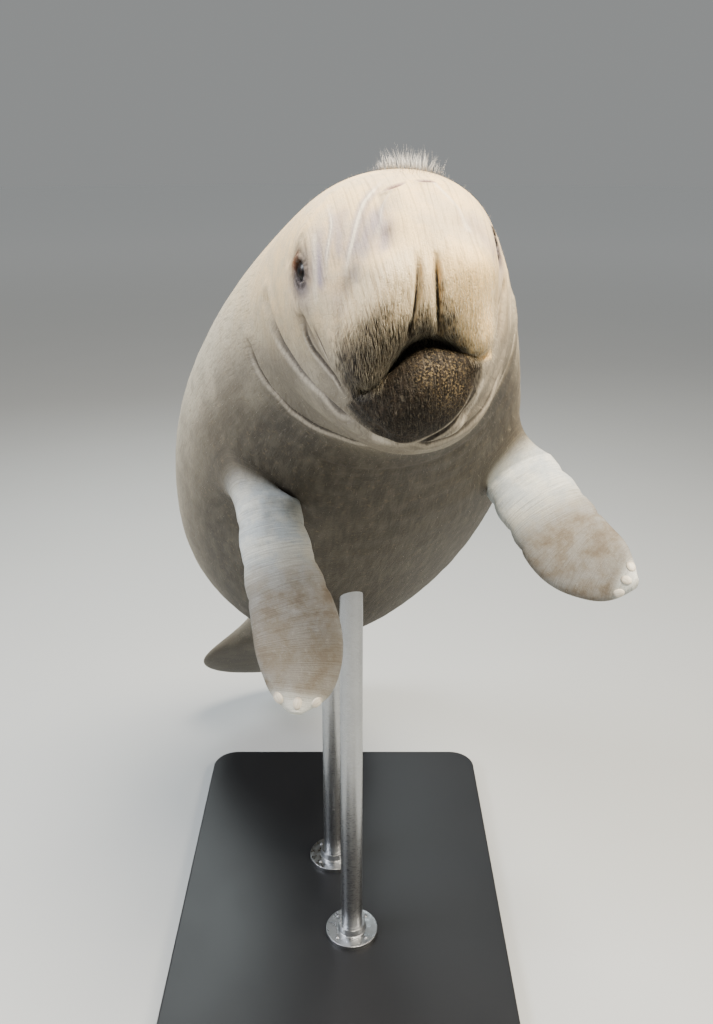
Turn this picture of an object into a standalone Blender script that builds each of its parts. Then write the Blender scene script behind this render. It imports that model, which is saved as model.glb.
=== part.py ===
# Still, life-size young manatee held up by a plain display stand.
# Metres, +Z up, the face looks towards -Y and the animal's left is +X.
# The origin is the middle of the underside of the stand's base.
import math

import bmesh
import bpy
import numpy as np
from mathutils import Vector
from mathutils.bvhtree import BVHTree

# gap left between two parts that meet
GAP = 0.0003
# edges that bend more than this, in degrees, are shaded crisp
SHARP_ANGLE = 38

# where the tip of the snout is
NOSE = (0.090, -0.650, 1.520)

# turns of the head, body and tail in degrees: to the animal's left, snout up, and roll
HEAD_TURN = (4.6, 18.7, -7.7)
BODY_TURN = (11.1, 49.4, -1.6)
TAIL_TURN = (17.6, 45.9, 0.0)
NECK_BEND = (0.20, 0.62)
TAIL_BEND = (1.15, 1.75)

# body sections from the mouth back, before the pose: s runs back from the snout, z up, x to the left
# name, top (s, z), side (x, s, z), bottom (s, z), squareness, rings up to the next section
SECTIONS = [
    ("inner", (0.046, -0.0905), (0.030, 0.054, -0.1062), (0.046, -0.0965), 2.0, 2),
    ("slit", (0.028, -0.089), (0.050, 0.058, -0.129), (0.036, -0.098), 2.0, 2),
    ("lip", (0.009, -0.080), (0.065, 0.058, -0.127), (0.026, -0.108), 2.0, 3),
    ("pads", (-0.003, -0.054), (0.080, 0.060, -0.114), (0.026, -0.150), 2.1, 4),
    ("disc", (-0.001, -0.012), (0.092, 0.070, -0.086), (0.048, -0.187), 2.2, 4),
    ("nose", (0.014, 0.031), (0.102, 0.090, -0.060), (0.086, -0.199), 2.2, 4),
    ("bridge", (0.050, 0.074), (0.119, 0.118, -0.042), (0.130, -0.205), 2.2, 4),
    ("eye", (0.112, 0.107), (0.133, 0.162, -0.028), (0.182, -0.206), 2.1, 4),
    ("brow", (0.190, 0.126), (0.148, 0.222, -0.026), (0.245, -0.208), 2.1, 3),
    ("nape", (0.300, 0.136), (0.182, 0.320, -0.024), (0.335, -0.216), 2.1, 3),
    ("arms", (0.440, 0.151), (0.228, 0.455, -0.018), (0.462, -0.228), 2.1, 6),
    ("chest", (0.620, 0.170), (0.275, 0.620, -0.015), (0.622, -0.246), 2.1, 5),
    ("belly", (0.860, 0.182), (0.296, 0.860, -0.015), (0.860, -0.232), 2.1, 4),
    ("hips", (1.110, 0.173), (0.268, 1.110, -0.012), (1.110, -0.202), 2.1, 4),
    ("rump", (1.320, 0.145), (0.198, 1.320, -0.005), (1.320, -0.160), 2.1, 3),
    ("stem", (1.470, 0.108), (0.146, 1.470, 0.000), (1.470, -0.104), 2.1, 2),
    ("stock", (1.580, 0.076), (0.126, 1.580, 0.000), (1.580, -0.068), 2.1, 2),
    ("root", (1.680, 0.052), (0.150, 1.680, 0.000), (1.680, -0.047), 2.1, 2),
    ("fan", (1.800, 0.035), (0.205, 1.800, 0.000), (1.800, -0.033), 2.0, 2),
    ("wide", (1.900, 0.027), (0.228, 1.900, 0.000), (1.900, -0.026), 2.0, 5),
]
PADDLE_LENGTH, PADDLE_HALF_WIDTH, PADDLE_HALF_THICK = 0.200, 0.228, 0.027
PADDLE_ARCS = 6

# points round each ring, closer together at the top, the sides and the bottom of the head
COLUMNS = 56
CROWD = 0.11
CROWD_END = (0.24, 0.46)

# folds, grooves, pads and rims: points (x, s, z) on the left half, radius, height
SKIN_MARKS = {
    "lip pad": ([(0.040, 0.002, -0.034), (0.052, 0.008, -0.065), (0.064, 0.026, -0.100)], 0.030, 0.017),
    "lip pad end": ([(0.064, 0.034, -0.118)], 0.018, 0.012),
    "pad crease": ([(0.086, 0.034, -0.024), (0.098, 0.050, -0.056), (0.100, 0.060, -0.088),
                    (0.088, 0.060, -0.118)], 0.012, -0.007),
    "chin pad": ([(0.0, 0.034, -0.136)], 0.036, 0.011),
    "chin side": ([(0.054, 0.062, -0.150), (0.048, 0.066, -0.176)], 0.012, -0.006),
    "philtrum groove": ([(0.0085, 0.0, -0.020), (0.0110, -0.003, -0.050), (0.0145, 0.003, -0.088)],
                        0.0070, -0.008),
    "philtrum ridge": ([(0.0, 0.0, -0.030), (0.0, 0.002, -0.088)], 0.009, 0.003),
    "snout bridge": ([(0.0, 0.020, 0.034)], 0.040, 0.006),
    "cheek crease": ([(0.121, 0.115, -0.042), (0.110, 0.104, -0.083), (0.096, 0.082, -0.118),
                      (0.080, 0.064, -0.144)], 0.009, -0.007),
    "first throat fold": ([(0.0, 0.086, -0.200), (0.035, 0.088, -0.194), (0.060, 0.105, -0.181),
                           (0.085, 0.122, -0.155), (0.105, 0.145, -0.125), (0.122, 0.172, -0.096),
                           (0.137, 0.198, -0.062), (0.149, 0.215, -0.028), (0.155, 0.230, 0.006)],
                          0.0095, -0.0080),
    "second throat fold": ([(0.0, 0.170, -0.207), (0.040, 0.180, -0.204), (0.080, 0.222, -0.193),
                            (0.116, 0.262, -0.168), (0.145, 0.290, -0.138), (0.166, 0.305, -0.106),
                            (0.180, 0.313, -0.072), (0.188, 0.316, -0.040)], 0.0105, -0.0070),
    "throat roll": ([(0.0, 0.125, -0.206), (0.060, 0.145, -0.190), (0.110, 0.190, -0.140),
                     (0.150, 0.245, -0.066)], 0.022, 0.006),
    "neck crease": ([(0.0, 0.395, -0.222), (0.090, 0.400, -0.200), (0.165, 0.400, -0.130),
                     (0.205, 0.395, -0.050)], 0.012, -0.003),
    "nostril rim": ([(0.0170, 0.036, 0.060)], 0.016, 0.0045),
    "snout dimple": ([(0.040, 0.012, 0.014), (0.040, 0.010, 0.004)], 0.011, -0.0045),
    "snout line": ([(0.030, 0.050, 0.070), (0.046, 0.026, 0.034), (0.066, 0.024, 0.0)], 0.006, -0.002),
    "eye hollow": ([(0.116, 0.104, 0.010)], 0.026, -0.004),
    "brow fold": ([(0.098, 0.100, 0.045), (0.110, 0.115, 0.036), (0.122, 0.135, 0.030)], 0.006, -0.0025),
    "tail crease": ([(0.0, 1.560, 0.085), (0.130, 1.570, 0.0), (0.0, 1.570, -0.075)], 0.012, -0.002),
}
# the closed mouth: height in the middle, drop to the corners, half width
MOUTH_TOP, MOUTH_DROP, MOUTH_HALF_WIDTH = -0.0935, 0.0355, 0.050
# middle of the closed mouth, from the middle to the left corner; the marks fade out near it
MOUTH_LINE = [(0.0, 0.030, -0.0935), (0.0125, 0.032, -0.0957), (0.025, 0.037, -0.1024),
              (0.0375, 0.046, -0.1135), (0.050, 0.058, -0.1290), (0.068, 0.058, -0.1270)]
MOUTH_CLEAR = 0.018
# a chewing animal: the snout slips to its left and the chin to its right, and the mouth tilts
SNOUT_SLIP = 0.017
CHIN_SLIP = -0.012
MOUTH_TILT = 0.13

# eyes before the pose: a point inside the head, ball radius, way it looks, how deep the middle lies, lid ring
EYE_BALL = (0.0996, 0.1091, 0.0087)
EYE_RADIUS = 0.0150
EYE_LOOK = (0.86, -0.50, 0.10)
EYE_DEPTH = 0.0132
LID_OUT, LID_RADIUS, LID_THICK, LID_SLANT = 0.0112, 0.0120, 0.0038, 1.20

# nostrils before the pose: middle, size of the slit, lean
NOSTRIL_AT = (0.0165, 0.0400, 0.0660)
NOSTRIL_SIZE = (0.0090, 0.0034, 0.0080)
NOSTRIL_LEAN = 32

# flippers in the finished pose: centre, half width, half thickness, from inside the shoulder to the tip
FLIPPERS = {
    "right": ((-0.10, 0.90, -0.42), [
        (-0.094, -0.346, 1.114, 0.047, 0.034), (-0.082, -0.389, 1.075, 0.049, 0.029),
        (-0.068, -0.428, 1.035, 0.054, 0.025), (-0.052, -0.465, 0.998, 0.060, 0.021),
        (-0.043, -0.498, 0.966, 0.060, 0.017), (-0.042, -0.526, 0.936, 0.050, 0.013),
        (-0.045, -0.546, 0.914, 0.030, 0.010), (-0.046, -0.557, 0.903, 0.008, 0.006)]),
    "left": ((0.10, 0.90, -0.42), [
        (0.294, -0.206, 1.114, 0.060, 0.034), (0.314, -0.245, 1.091, 0.062, 0.030),
        (0.335, -0.284, 1.068, 0.064, 0.026), (0.359, -0.327, 1.042, 0.065, 0.022),
        (0.386, -0.363, 1.032, 0.057, 0.018), (0.407, -0.391, 1.028, 0.044, 0.013),
        (0.421, -0.410, 1.028, 0.026, 0.010), (0.430, -0.423, 1.029, 0.008, 0.006)]),
}
FLIPPER_RINGS = 12
SHOULDER_S = (0.528, 0.645)
SHOULDER_ANGLE = 320.0
SHOULDER_COLUMNS = 4
SHOULDER_RINGS = 4
SHOULDER_SMOOTHING = 6
NAIL_SIZE = (0.0062, 0.0085, 0.0030)
# how far along the flipper and at what angle round it each nail sits
NAILS = ((0.89, 215), (0.93, 270), (0.89, 325))

# flat cuts that part the animal, from the snout back: s and z of a point, lean in degrees
CUTS = {"muzzle": (0.075, -0.040, 9), "head": (0.262, 0, 0), "neck": (0.425, 0, 0), "torso": (1.400, 0, 0),
        "tail_stock": (1.690, 0, 0)}

# display stand
BASE_LENGTH, BASE_WIDTH, BASE_HEIGHT, BASE_CORNER, BASE_EDGE = 1.100, 0.700, 0.035, 0.060, 0.004
ROD_RADIUS = 0.022
RODS = {"front": 0.800, "back": 1.150}
FLANGE_RADIUS, FLANGE_HEIGHT = 0.055, 0.010

COLOURS = {
    "hide": (0.46, 0.42, 0.37), "muzzle": (0.50, 0.42, 0.32), "chin": (0.22, 0.16, 0.11),
    "flipper": (0.40, 0.39, 0.37), "eye": (0.015, 0.010, 0.008), "lid": (0.30, 0.24, 0.19),
    "nail": (0.72, 0.68, 0.60), "base": (0.05, 0.05, 0.055), "steel": (0.60, 0.61, 0.62),
}


def ease(low, high, value):
    part = np.clip((np.asarray(value, float) - low) / (high - low), 0, 1)
    return part * part * (3 - 2 * part)


# natural cubic spline through the rows of v
def spline(t, v, q):
    count = len(t)
    step = np.diff(t)
    left = np.eye(count)
    right = np.zeros(v.shape)
    for i in range(1, count - 1):
        left[i, i - 1:i + 2] = step[i - 1], 2 * (step[i - 1] + step[i]), step[i]
        right[i] = 6 * ((v[i + 1] - v[i]) / step[i] - (v[i] - v[i - 1]) / step[i - 1])
    bend = np.linalg.solve(left, right)
    k = np.clip(np.searchsorted(t, q) - 1, 0, count - 2)
    wide = step[k][:, None]
    a = (t[k + 1] - q)[:, None] / wide
    b = (q - t[k])[:, None] / wide
    return a * v[k] + b * v[k + 1] + ((a ** 3 - a) * bend[k] + (b ** 3 - b) * bend[k + 1]) * wide ** 2 / 6


# all sections with the rounded end of the paddle, and the ring positions between them
def section_rows():
    rows = []
    marks = [0.0]
    for name, top, side, bottom, square, rings in SECTIONS:
        rows.append([*top, *side, *bottom, square])
    start = SECTIONS[-1][2][1]
    for k in range(1, PADDLE_ARCS + 1):
        turn = math.pi / 2 * k / PADDLE_ARCS
        s = start + PADDLE_LENGTH * math.sin(turn)
        thick = PADDLE_HALF_THICK * (0.35 + 0.65 * math.cos(turn)) if k < PADDLE_ARCS else 0.0
        rows.append([s, thick, PADDLE_HALF_WIDTH * math.cos(turn), s, 0.0, s, -0.96 * thick, 2.0])
    rows = np.array(rows)
    for a, b in zip(rows[:-1], rows[1:]):
        chord = np.hypot(*(b[0:2] - a[0:2])) + np.linalg.norm(b[2:5] - a[2:5]) + np.hypot(*(b[5:7] - a[5:7]))
        marks.append(marks[-1] + chord / 3)
    marks = np.array(marks)
    stops = [marks[0]]
    for k, section in enumerate(SECTIONS):
        last = marks[-1] if k == len(SECTIONS) - 1 else marks[k + 1]
        stops.extend(np.linspace(marks[k], last, section[5] + 1)[1:])
    return marks, rows, np.array(stops)


# height of the closed mouth, which arches up in the middle
def mouth_height(x):
    return MOUTH_TOP - MOUTH_DROP * np.minimum(np.abs(x) / MOUTH_HALF_WIDTH, 1.03) ** 2


# bare body as a grid of rings, before marks and pose; the first rings line the mouth
def body_grid():
    marks, rows, stops = section_rows()
    around = np.arange(COLUMNS) / COLUMNS * 2 * math.pi
    grid = np.zeros((len(stops), COLUMNS, 3))
    for i, (top_s, top_z, x, s, z, low_s, low_z, square) in enumerate(spline(marks, rows, stops)):
        crowd = CROWD * (1 - ease(*CROWD_END, s))
        turn = around - crowd * np.sin(4 * around)
        c, u = np.cos(turn), np.sin(turn)
        c = np.sign(c) * np.abs(c) ** (2 / square)
        u = np.sign(u) * np.abs(u) ** (2 / square)
        top = np.array([0, top_s - s, top_z - z])
        low = np.array([0, low_s - s, low_z - z])
        grid[i] = np.array([0, s, z]) + np.outer(c, [x, 0, 0])
        grid[i] += np.outer(u, (top - low) / 2) + np.outer(u * u, (top + low) / 2)
        middle = z + u * u * (top + low)[2] / 2
        grid[i, :, 2] += (mouth_height(grid[i, :, 0]) - middle) * (1 - ease(2, 5, i))
    return grid


def distance_to_line(points, line):
    line = np.array(line, float)
    if len(line) == 1:
        return np.linalg.norm(points - line[0], axis=-1)
    best = np.full(points.shape[:-1], 9.0)
    for a, b in zip(line[:-1], line[1:]):
        part = np.clip(((points - a) @ (b - a)) / ((b - a) @ (b - a)), 0, 1)
        best = np.minimum(best, np.linalg.norm(points - a - part[..., None] * (b - a), axis=-1))
    return best


def mark_height(points):
    half = np.abs(points) * [1, 0, 0] + points * [0, 1, 1]
    total = np.zeros(points.shape[:-1])
    for line, radius, height in SKIN_MARKS.values():
        away = distance_to_line(half, line) / radius
        total += height * np.exp(-away ** 2)
        if height < 0 and len(line) > 4:
            total -= 0.4 * height * np.exp(-((away - 2.0) / 0.9) ** 2)
    return total


# slide the snout and the chin sideways, and tilt the mouth
def slipped(points):
    x, s, z = points[..., 0], points[..., 1], points[..., 2]
    low = ease(-0.125, -0.185, z)
    snout = ease(-0.090, -0.020, z) * ease(0.130, 0.075, z)
    moved = np.array(points)
    moved[..., 0] += (1 - ease(0.03, 0.10, s)) * (SNOUT_SLIP * snout + CHIN_SLIP * low)
    moved[..., 2] += MOUTH_TILT * x * (1 - ease(0.05, 0.13, s)) * ease(-0.02, -0.09, z) * (1 - 0.6 * low)
    return moved


# raise or lower the grid along its own normals
def add_marks(grid):
    across = np.roll(grid, -1, axis=1) - np.roll(grid, 1, axis=1)
    along = np.gradient(grid, axis=0)
    normal = np.cross(along, across)
    length = np.linalg.norm(normal, axis=2, keepdims=True)
    normal = np.where(length > 1e-9, normal / np.maximum(length, 1e-9), 0)
    half = np.abs(grid) * [1, 0, 0] + grid * [0, 1, 1]
    clear = 1 - np.exp(-(distance_to_line(half, MOUTH_LINE) / MOUTH_CLEAR) ** 2)
    clear *= ease(1.0, 4.5, np.arange(len(grid)))[:, None]
    return slipped(grid + normal * (mark_height(grid) * clear)[..., None])


def turned(yaw, pitch, roll):
    y, p, r = np.radians([yaw, pitch, roll])
    about_z = np.array([[math.cos(y), -math.sin(y), 0], [math.sin(y), math.cos(y), 0], [0, 0, 1]])
    about_x = np.array([[1, 0, 0], [0, math.cos(p), math.sin(p)], [0, -math.sin(p), math.cos(p)]])
    about_y = np.array([[math.cos(r), 0, math.sin(r)], [0, 1, 0], [-math.sin(r), 0, math.cos(r)]])
    return about_z @ about_x @ about_y


def turn_at(s):
    neck = ease(*NECK_BEND, s)
    tail = ease(*TAIL_BEND, s)
    mix = [h * (1 - neck) + b * (neck - tail) + t * tail for h, b, t in zip(HEAD_TURN, BODY_TURN, TAIL_TURN)]
    return turned(*mix)


SPINE_STEP = 0.01
SPINE_S = np.arange(-0.1, 2.2, SPINE_STEP)
SPINE_TURN = np.array([turn_at(s) for s in SPINE_S])
SPINE_MOVES = (SPINE_TURN[1:, :, 1] + SPINE_TURN[:-1, :, 1]) / 2 * SPINE_STEP
SPINE_AT = np.vstack([np.zeros(3), np.cumsum(SPINE_MOVES, axis=0)])
SPINE_AT += np.array(NOSE) - [np.interp(0, SPINE_S, SPINE_AT[:, k]) for k in range(3)]


# put points of the straight animal into the pose
def posed(points):
    points = np.asarray(points, float)
    flat = points.reshape(-1, 3)
    place = (flat[:, 1] - SPINE_S[0]) / SPINE_STEP
    i = np.clip(place.astype(int), 0, len(SPINE_S) - 2)
    f = (place - i)[:, None]
    centre = SPINE_AT[i] * (1 - f) + SPINE_AT[i + 1] * f
    side = SPINE_TURN[i, :, 0] * (1 - f) + SPINE_TURN[i + 1, :, 0] * f
    up = SPINE_TURN[i, :, 2] * (1 - f) + SPINE_TURN[i + 1, :, 2] * f
    return (centre + side * flat[:, :1] + up * flat[:, 2:]).reshape(points.shape)


def unit(v):
    v = np.asarray(v, float)
    return v / np.linalg.norm(v, axis=-1, keepdims=True)


# rings of a flipper from the shoulder to the tip, each with `around` points
def flipper_rings(side, around, count):
    face, stations = FLIPPERS[side]
    rows = np.array(stations)
    marks = np.concatenate([[0], np.cumsum(np.linalg.norm(np.diff(rows[:, :3], axis=0), axis=1))])
    q = marks[-1] * (1 - (1 - np.linspace(0, 1, count)) ** 1.25)
    fine = spline(marks, rows, q)
    away = unit(spline(marks, rows, q + 0.001)[:, :3] - spline(marks, rows, q - 0.001)[:, :3])
    wide = unit(np.cross(np.array(face), away))
    thin = np.cross(away, wide)
    turn = np.arange(around) / around * 2 * math.pi
    rings = []
    for k in range(count):
        ring = np.outer(np.cos(turn), wide[k] * fine[k, 3]) + np.outer(np.sin(turn), thin[k] * fine[k, 4])
        rings.append(fine[k, :3] + ring)
    return np.array(rings), away


# smooth sleeve of rings from a hole in the body to the first ring of a flipper
def shoulder_rings(hole, inward, ring, away, count):
    best = None
    for way in (1, -1):
        for shift in range(len(ring)):
            trial = np.roll(ring[::way], shift, axis=0)
            cost = ((trial - trial.mean(0) - hole + hole.mean(0)) ** 2).sum()
            if best is None or cost < best[0]:
                best = (cost, way, shift)
    ring = np.roll(ring[::best[1]], best[2], axis=0)
    reach = np.linalg.norm(ring - hole, axis=1)[:, None]
    rings = []
    for k in range(1, count):
        t = k / count
        h00, h10 = 2 * t ** 3 - 3 * t ** 2 + 1, t ** 3 - 2 * t ** 2 + t
        h01, h11 = -2 * t ** 3 + 3 * t ** 2, t ** 3 - t ** 2
        rings.append(h00 * hole + h10 * inward * reach * 0.9 + h01 * ring + h11 * away * reach * 0.9)
    return rings, best[1], best[2]


class Shell:
    def __init__(self):
        self.points = []
        self.faces = []
        self.soft = set()

    def add(self, points):
        start = len(self.points)
        self.points.extend(np.asarray(points, float).reshape(-1, 3))
        return list(range(start, len(self.points)))

    def strip(self, a, b):
        for k in range(len(a)):
            n = (k + 1) % len(a)
            self.faces.append((a[k], a[n], b[n], b[k]))

    def cap(self, loop):
        middle = self.add(np.mean([self.points[i] for i in loop], axis=0))[0]
        for k in range(len(loop)):
            self.faces.append((loop[k], loop[(k + 1) % len(loop)], middle))

    def mesh(self, name):
        data = bpy.data.meshes.new(name)
        data.from_pydata([tuple(p) for p in self.points], [], self.faces)
        bm = bmesh.new()
        bm.from_mesh(data)
        bm.verts.ensure_lookup_table()
        soft = [bm.verts[i] for i in sorted(self.soft)]
        for turn in range(SHOULDER_SMOOTHING if soft else 0):
            bmesh.ops.smooth_vert(bm, verts=soft, factor=0.5, use_axis_x=True, use_axis_y=True, use_axis_z=True)
        bmesh.ops.remove_doubles(bm, verts=bm.verts, dist=1e-6)
        loose = [v for v in bm.verts if not v.link_faces]
        bmesh.ops.delete(bm, geom=loose, context="VERTS")
        bmesh.ops.recalc_face_normals(bm, faces=bm.faces)
        bm.to_mesh(data)
        bm.free()
        return data


# the body and its two shoulder sleeves as one closed shell
def body_shell():
    grid = add_marks(body_grid())
    marks, rows, stops = section_rows()
    middle_s = spline(marks, rows, stops)[:, 3]
    shell = Shell()
    flat = posed(grid)
    rings = [shell.add(ring) for ring in flat[:-1]]
    start = shell.add(posed(grid[0].mean(0)))[0]
    tip = shell.add(posed(grid[-1].mean(0)))[0]
    half = COLUMNS // 2
    first = int(np.argmin(np.abs(middle_s - SHOULDER_S[0])))
    last = int(np.argmin(np.abs(middle_s - SHOULDER_S[1])))
    centre = round(SHOULDER_ANGLE / 360 * COLUMNS)
    holes = {"left": (centre - SHOULDER_COLUMNS // 2, centre + SHOULDER_COLUMNS // 2)}
    holes["right"] = ((half - holes["left"][1]) % COLUMNS, (half - holes["left"][0]) % COLUMNS)
    for i in range(len(rings) - 1):
        for j in range(COLUMNS):
            open_here = any(first <= i < last and low <= j < high for low, high in holes.values())
            if not open_here:
                n = (j + 1) % COLUMNS
                shell.faces.append((rings[i][j], rings[i][n], rings[i + 1][n], rings[i + 1][j]))
    for j in range(COLUMNS):
        n = (j + 1) % COLUMNS
        shell.faces.append((start, rings[0][n], rings[0][j]))
        shell.faces.append((tip, rings[-1][j], rings[-1][n]))
    roots = {}
    for side, (low, high) in holes.items():
        path = [(first, j) for j in range(low, high)] + [(i, high) for i in range(first, last)]
        path += [(last, j) for j in range(high, low, -1)] + [(i, low) for i in range(last, first, -1)]
        loop = [rings[i][j % COLUMNS] for i, j in path]
        hole = np.array([flat[i, j % COLUMNS] for i, j in path])
        beyond = [(i + (i == last) - (i == first), (j + (j == high) - (j == low)) % COLUMNS) for i, j in path]
        outer = np.array([flat[i, j] for i, j in beyond])
        fins, away = flipper_rings(side, len(loop), FLIPPER_RINGS)
        inward = unit(hole - outer)
        sleeve, way, shift = shoulder_rings(hole, inward, fins[0], away[0], SHOULDER_RINGS)
        ring = np.roll(fins[0][::way], shift, axis=0)
        previous = loop
        for points in sleeve + [ring - away[0] * GAP]:
            current = shell.add(points)
            shell.strip(previous, current)
            shell.soft.update(previous)
            previous = current
        shell.cap(previous)
        for i in range(first - 1, last + 2):
            shell.soft.update(rings[i][j % COLUMNS] for j in range(low - 1, high + 2))
        roots[side] = fins
    return shell, roots


def make_object(name, data, colour, rough=0.55, metal=0.0):
    material = bpy.data.materials.get(colour) or bpy.data.materials.new(colour)
    material.use_nodes = True
    shader = material.node_tree.nodes["Principled BSDF"]
    shader.inputs["Base Color"].default_value = (*COLOURS[colour], 1)
    shader.inputs["Roughness"].default_value = rough
    shader.inputs["Metallic"].default_value = metal
    data.materials.clear()
    data.materials.append(material)
    thing = bpy.data.objects.new(name, data)
    bpy.context.scene.collection.objects.link(thing)
    shade(data)
    return thing


# smooth shading that keeps the cut edges crisp
def shade(data):
    data.shade_smooth()
    data.set_sharp_from_angle(angle=math.radians(SHARP_ANGLE))


# split a mesh by a plane into the part before it and the part behind it, a gap apart
def split(data, point, normal):
    halves = []
    for way in (1, -1):
        bm = bmesh.new()
        bm.from_mesh(data)
        centre = np.array(point) + np.array(normal) * GAP / 2 * -way
        everything = bm.verts[:] + bm.edges[:] + bm.faces[:]
        bmesh.ops.bisect_plane(bm, geom=everything, dist=1e-7, plane_co=centre, plane_no=normal,
                               clear_outer=way > 0, clear_inner=way < 0)
        rim = [e for e in bm.edges if e.is_boundary]
        bmesh.ops.triangle_fill(bm, use_beauty=True, use_dissolve=False, edges=rim)
        bmesh.ops.triangulate(bm, faces=bm.faces[:])
        bmesh.ops.recalc_face_normals(bm, faces=bm.faces[:])
        out = bpy.data.meshes.new("half")
        bm.to_mesh(out)
        bm.free()
        halves.append(out)
    return halves


def ellipsoid(name, centre, axes, sizes, columns=20, rows=12):
    shell = Shell()
    axes = np.array(axes)
    turn = np.arange(columns) / columns * 2 * math.pi
    rings = []
    for k in range(1, rows):
        lean = math.pi * k / rows
        wide = math.sin(lean)
        flat = np.stack([np.cos(turn) * wide, np.sin(turn) * wide, np.full(columns, math.cos(lean))], axis=1)
        rings.append(shell.add(np.array(centre) + (flat * sizes) @ axes))
    ends = shell.add([np.array(centre) + axes[2] * sizes[2], np.array(centre) - axes[2] * sizes[2]])
    for a, b in zip(rings[:-1], rings[1:]):
        shell.strip(a, b)
    for k in range(columns):
        n = (k + 1) % columns
        shell.faces.append((ends[0], rings[0][n], rings[0][k]))
        shell.faces.append((ends[1], rings[-1][k], rings[-1][n]))
    return shell.mesh(name)


def ring_mesh(name, centre, axes, radius, slant, thick, around=20, tube=6):
    shell = Shell()
    axes = np.array(axes)
    rings = []
    for k in range(around):
        turn = k / around * 2 * math.pi
        out = np.array([math.cos(turn) * slant, math.sin(turn), 0])
        middle = out * radius
        points = []
        for m in range(tube):
            lean = m / tube * 2 * math.pi
            points.append(middle + (unit(out) * math.cos(lean) + np.array([0, 0, math.sin(lean)])) * thick)
        rings.append(shell.add(np.array(centre) + np.array(points) @ axes))
    for k in range(around):
        shell.strip(rings[k], rings[(k + 1) % around])
    return shell.mesh(name)


# take cutter meshes out of an object and keep the largest piece
def take_out(thing, cutters, solver="EXACT"):
    for data in cutters:
        cutter = bpy.data.objects.new("cutter", data)
        bpy.context.scene.collection.objects.link(cutter)
        cutter.hide_render = True
        cutter.display_type = "WIRE"
        boolean = thing.modifiers.new("cut", "BOOLEAN")
        boolean.operation = "DIFFERENCE"
        boolean.solver = solver
        boolean.object = cutter
        bpy.context.view_layer.update()
        result = bpy.data.meshes.new_from_object(thing.evaluated_get(bpy.context.evaluated_depsgraph_get()))
        thing.modifiers.remove(boolean)
        thing.data = result
        bpy.data.objects.remove(cutter)
    bm = bmesh.new()
    bm.from_mesh(thing.data)
    bmesh.ops.triangulate(bm, faces=bm.faces[:])
    if solver == "EXACT":
        bmesh.ops.dissolve_degenerate(bm, dist=1e-5, edges=bm.edges[:])
    left = set(bm.verts)
    groups = []
    while left:
        stack = [left.pop()]
        group = []
        while stack:
            v = stack.pop()
            group.append(v)
            for e in v.link_edges:
                o = e.other_vert(v)
                if o in left:
                    left.remove(o)
                    stack.append(o)
        groups.append(group)
    groups.sort(key=len)
    for group in groups[:-1]:
        bmesh.ops.delete(bm, geom=group, context="VERTS")
    bm.to_mesh(thing.data)
    bm.free()
    shade(thing.data)


def grown(data, amount):
    bm = bmesh.new()
    bm.from_mesh(data)
    bm.normal_update()
    moves = [(v, v.normal * amount) for v in bm.verts]
    for v, move in moves:
        v.co += move
    out = bpy.data.meshes.new("grown")
    bm.to_mesh(out)
    bm.free()
    return out


def cylinder(name, centre, radius, low, high, around=40, edge=0.0):
    shell = Shell()
    turn = np.arange(around) / around * 2 * math.pi
    levels = [(low, radius), (high, radius)]
    if edge:
        levels = [(low, radius), (high - edge, radius), (high, radius - edge)]
    rings = []
    for z, r in levels:
        ring = np.stack([centre[0] + r * np.cos(turn), centre[1] + r * np.sin(turn), np.full(around, z)], axis=1)
        rings.append(shell.add(ring))
    for a, b in zip(rings[:-1], rings[1:]):
        shell.strip(a, b)
    shell.cap(rings[0])
    shell.cap(rings[-1])
    return shell.mesh(name)


def base_plate(name):
    shell = Shell()
    loops = []
    for z, inset in ((0.0, 0.0), (BASE_HEIGHT - BASE_EDGE, 0.0), (BASE_HEIGHT, BASE_EDGE)):
        points = []
        for corner, (sx, sy) in enumerate(((1, 1), (-1, 1), (-1, -1), (1, -1))):
            for k in range(7):
                turn = math.pi / 2 * (corner + k / 6)
                x = sx * (BASE_WIDTH / 2 - BASE_CORNER) + (BASE_CORNER - inset) * math.cos(turn)
                y = sy * (BASE_LENGTH / 2 - BASE_CORNER) + (BASE_CORNER - inset) * math.sin(turn)
                points.append((x, y, z))
        loops.append(shell.add(points))
    for a, b in zip(loops[:-1], loops[1:]):
        shell.strip(a, b)
    shell.cap(loops[0])
    shell.cap(loops[-1])
    return shell.mesh(name)


# straight-frame axes of something that looks along `look`
def facing(look, lean=0.0):
    out = unit(look)
    side = unit(np.cross(out, [0, 0, 1]))
    up = np.cross(side, out)
    a = math.radians(lean)
    return [side * math.cos(a) + up * math.sin(a), up * math.cos(a) - side * math.sin(a), out]


def to_pose(data):
    points = np.array([v.co[:] for v in data.vertices])
    for v, p in zip(data.vertices, posed(points)):
        v.co = p
    return data


def cut_plane(s, z, lean):
    a = math.radians(lean)
    return posed(np.array([0, s, z])), turn_at(s) @ np.array([0, math.cos(a), math.sin(a)])


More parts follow.
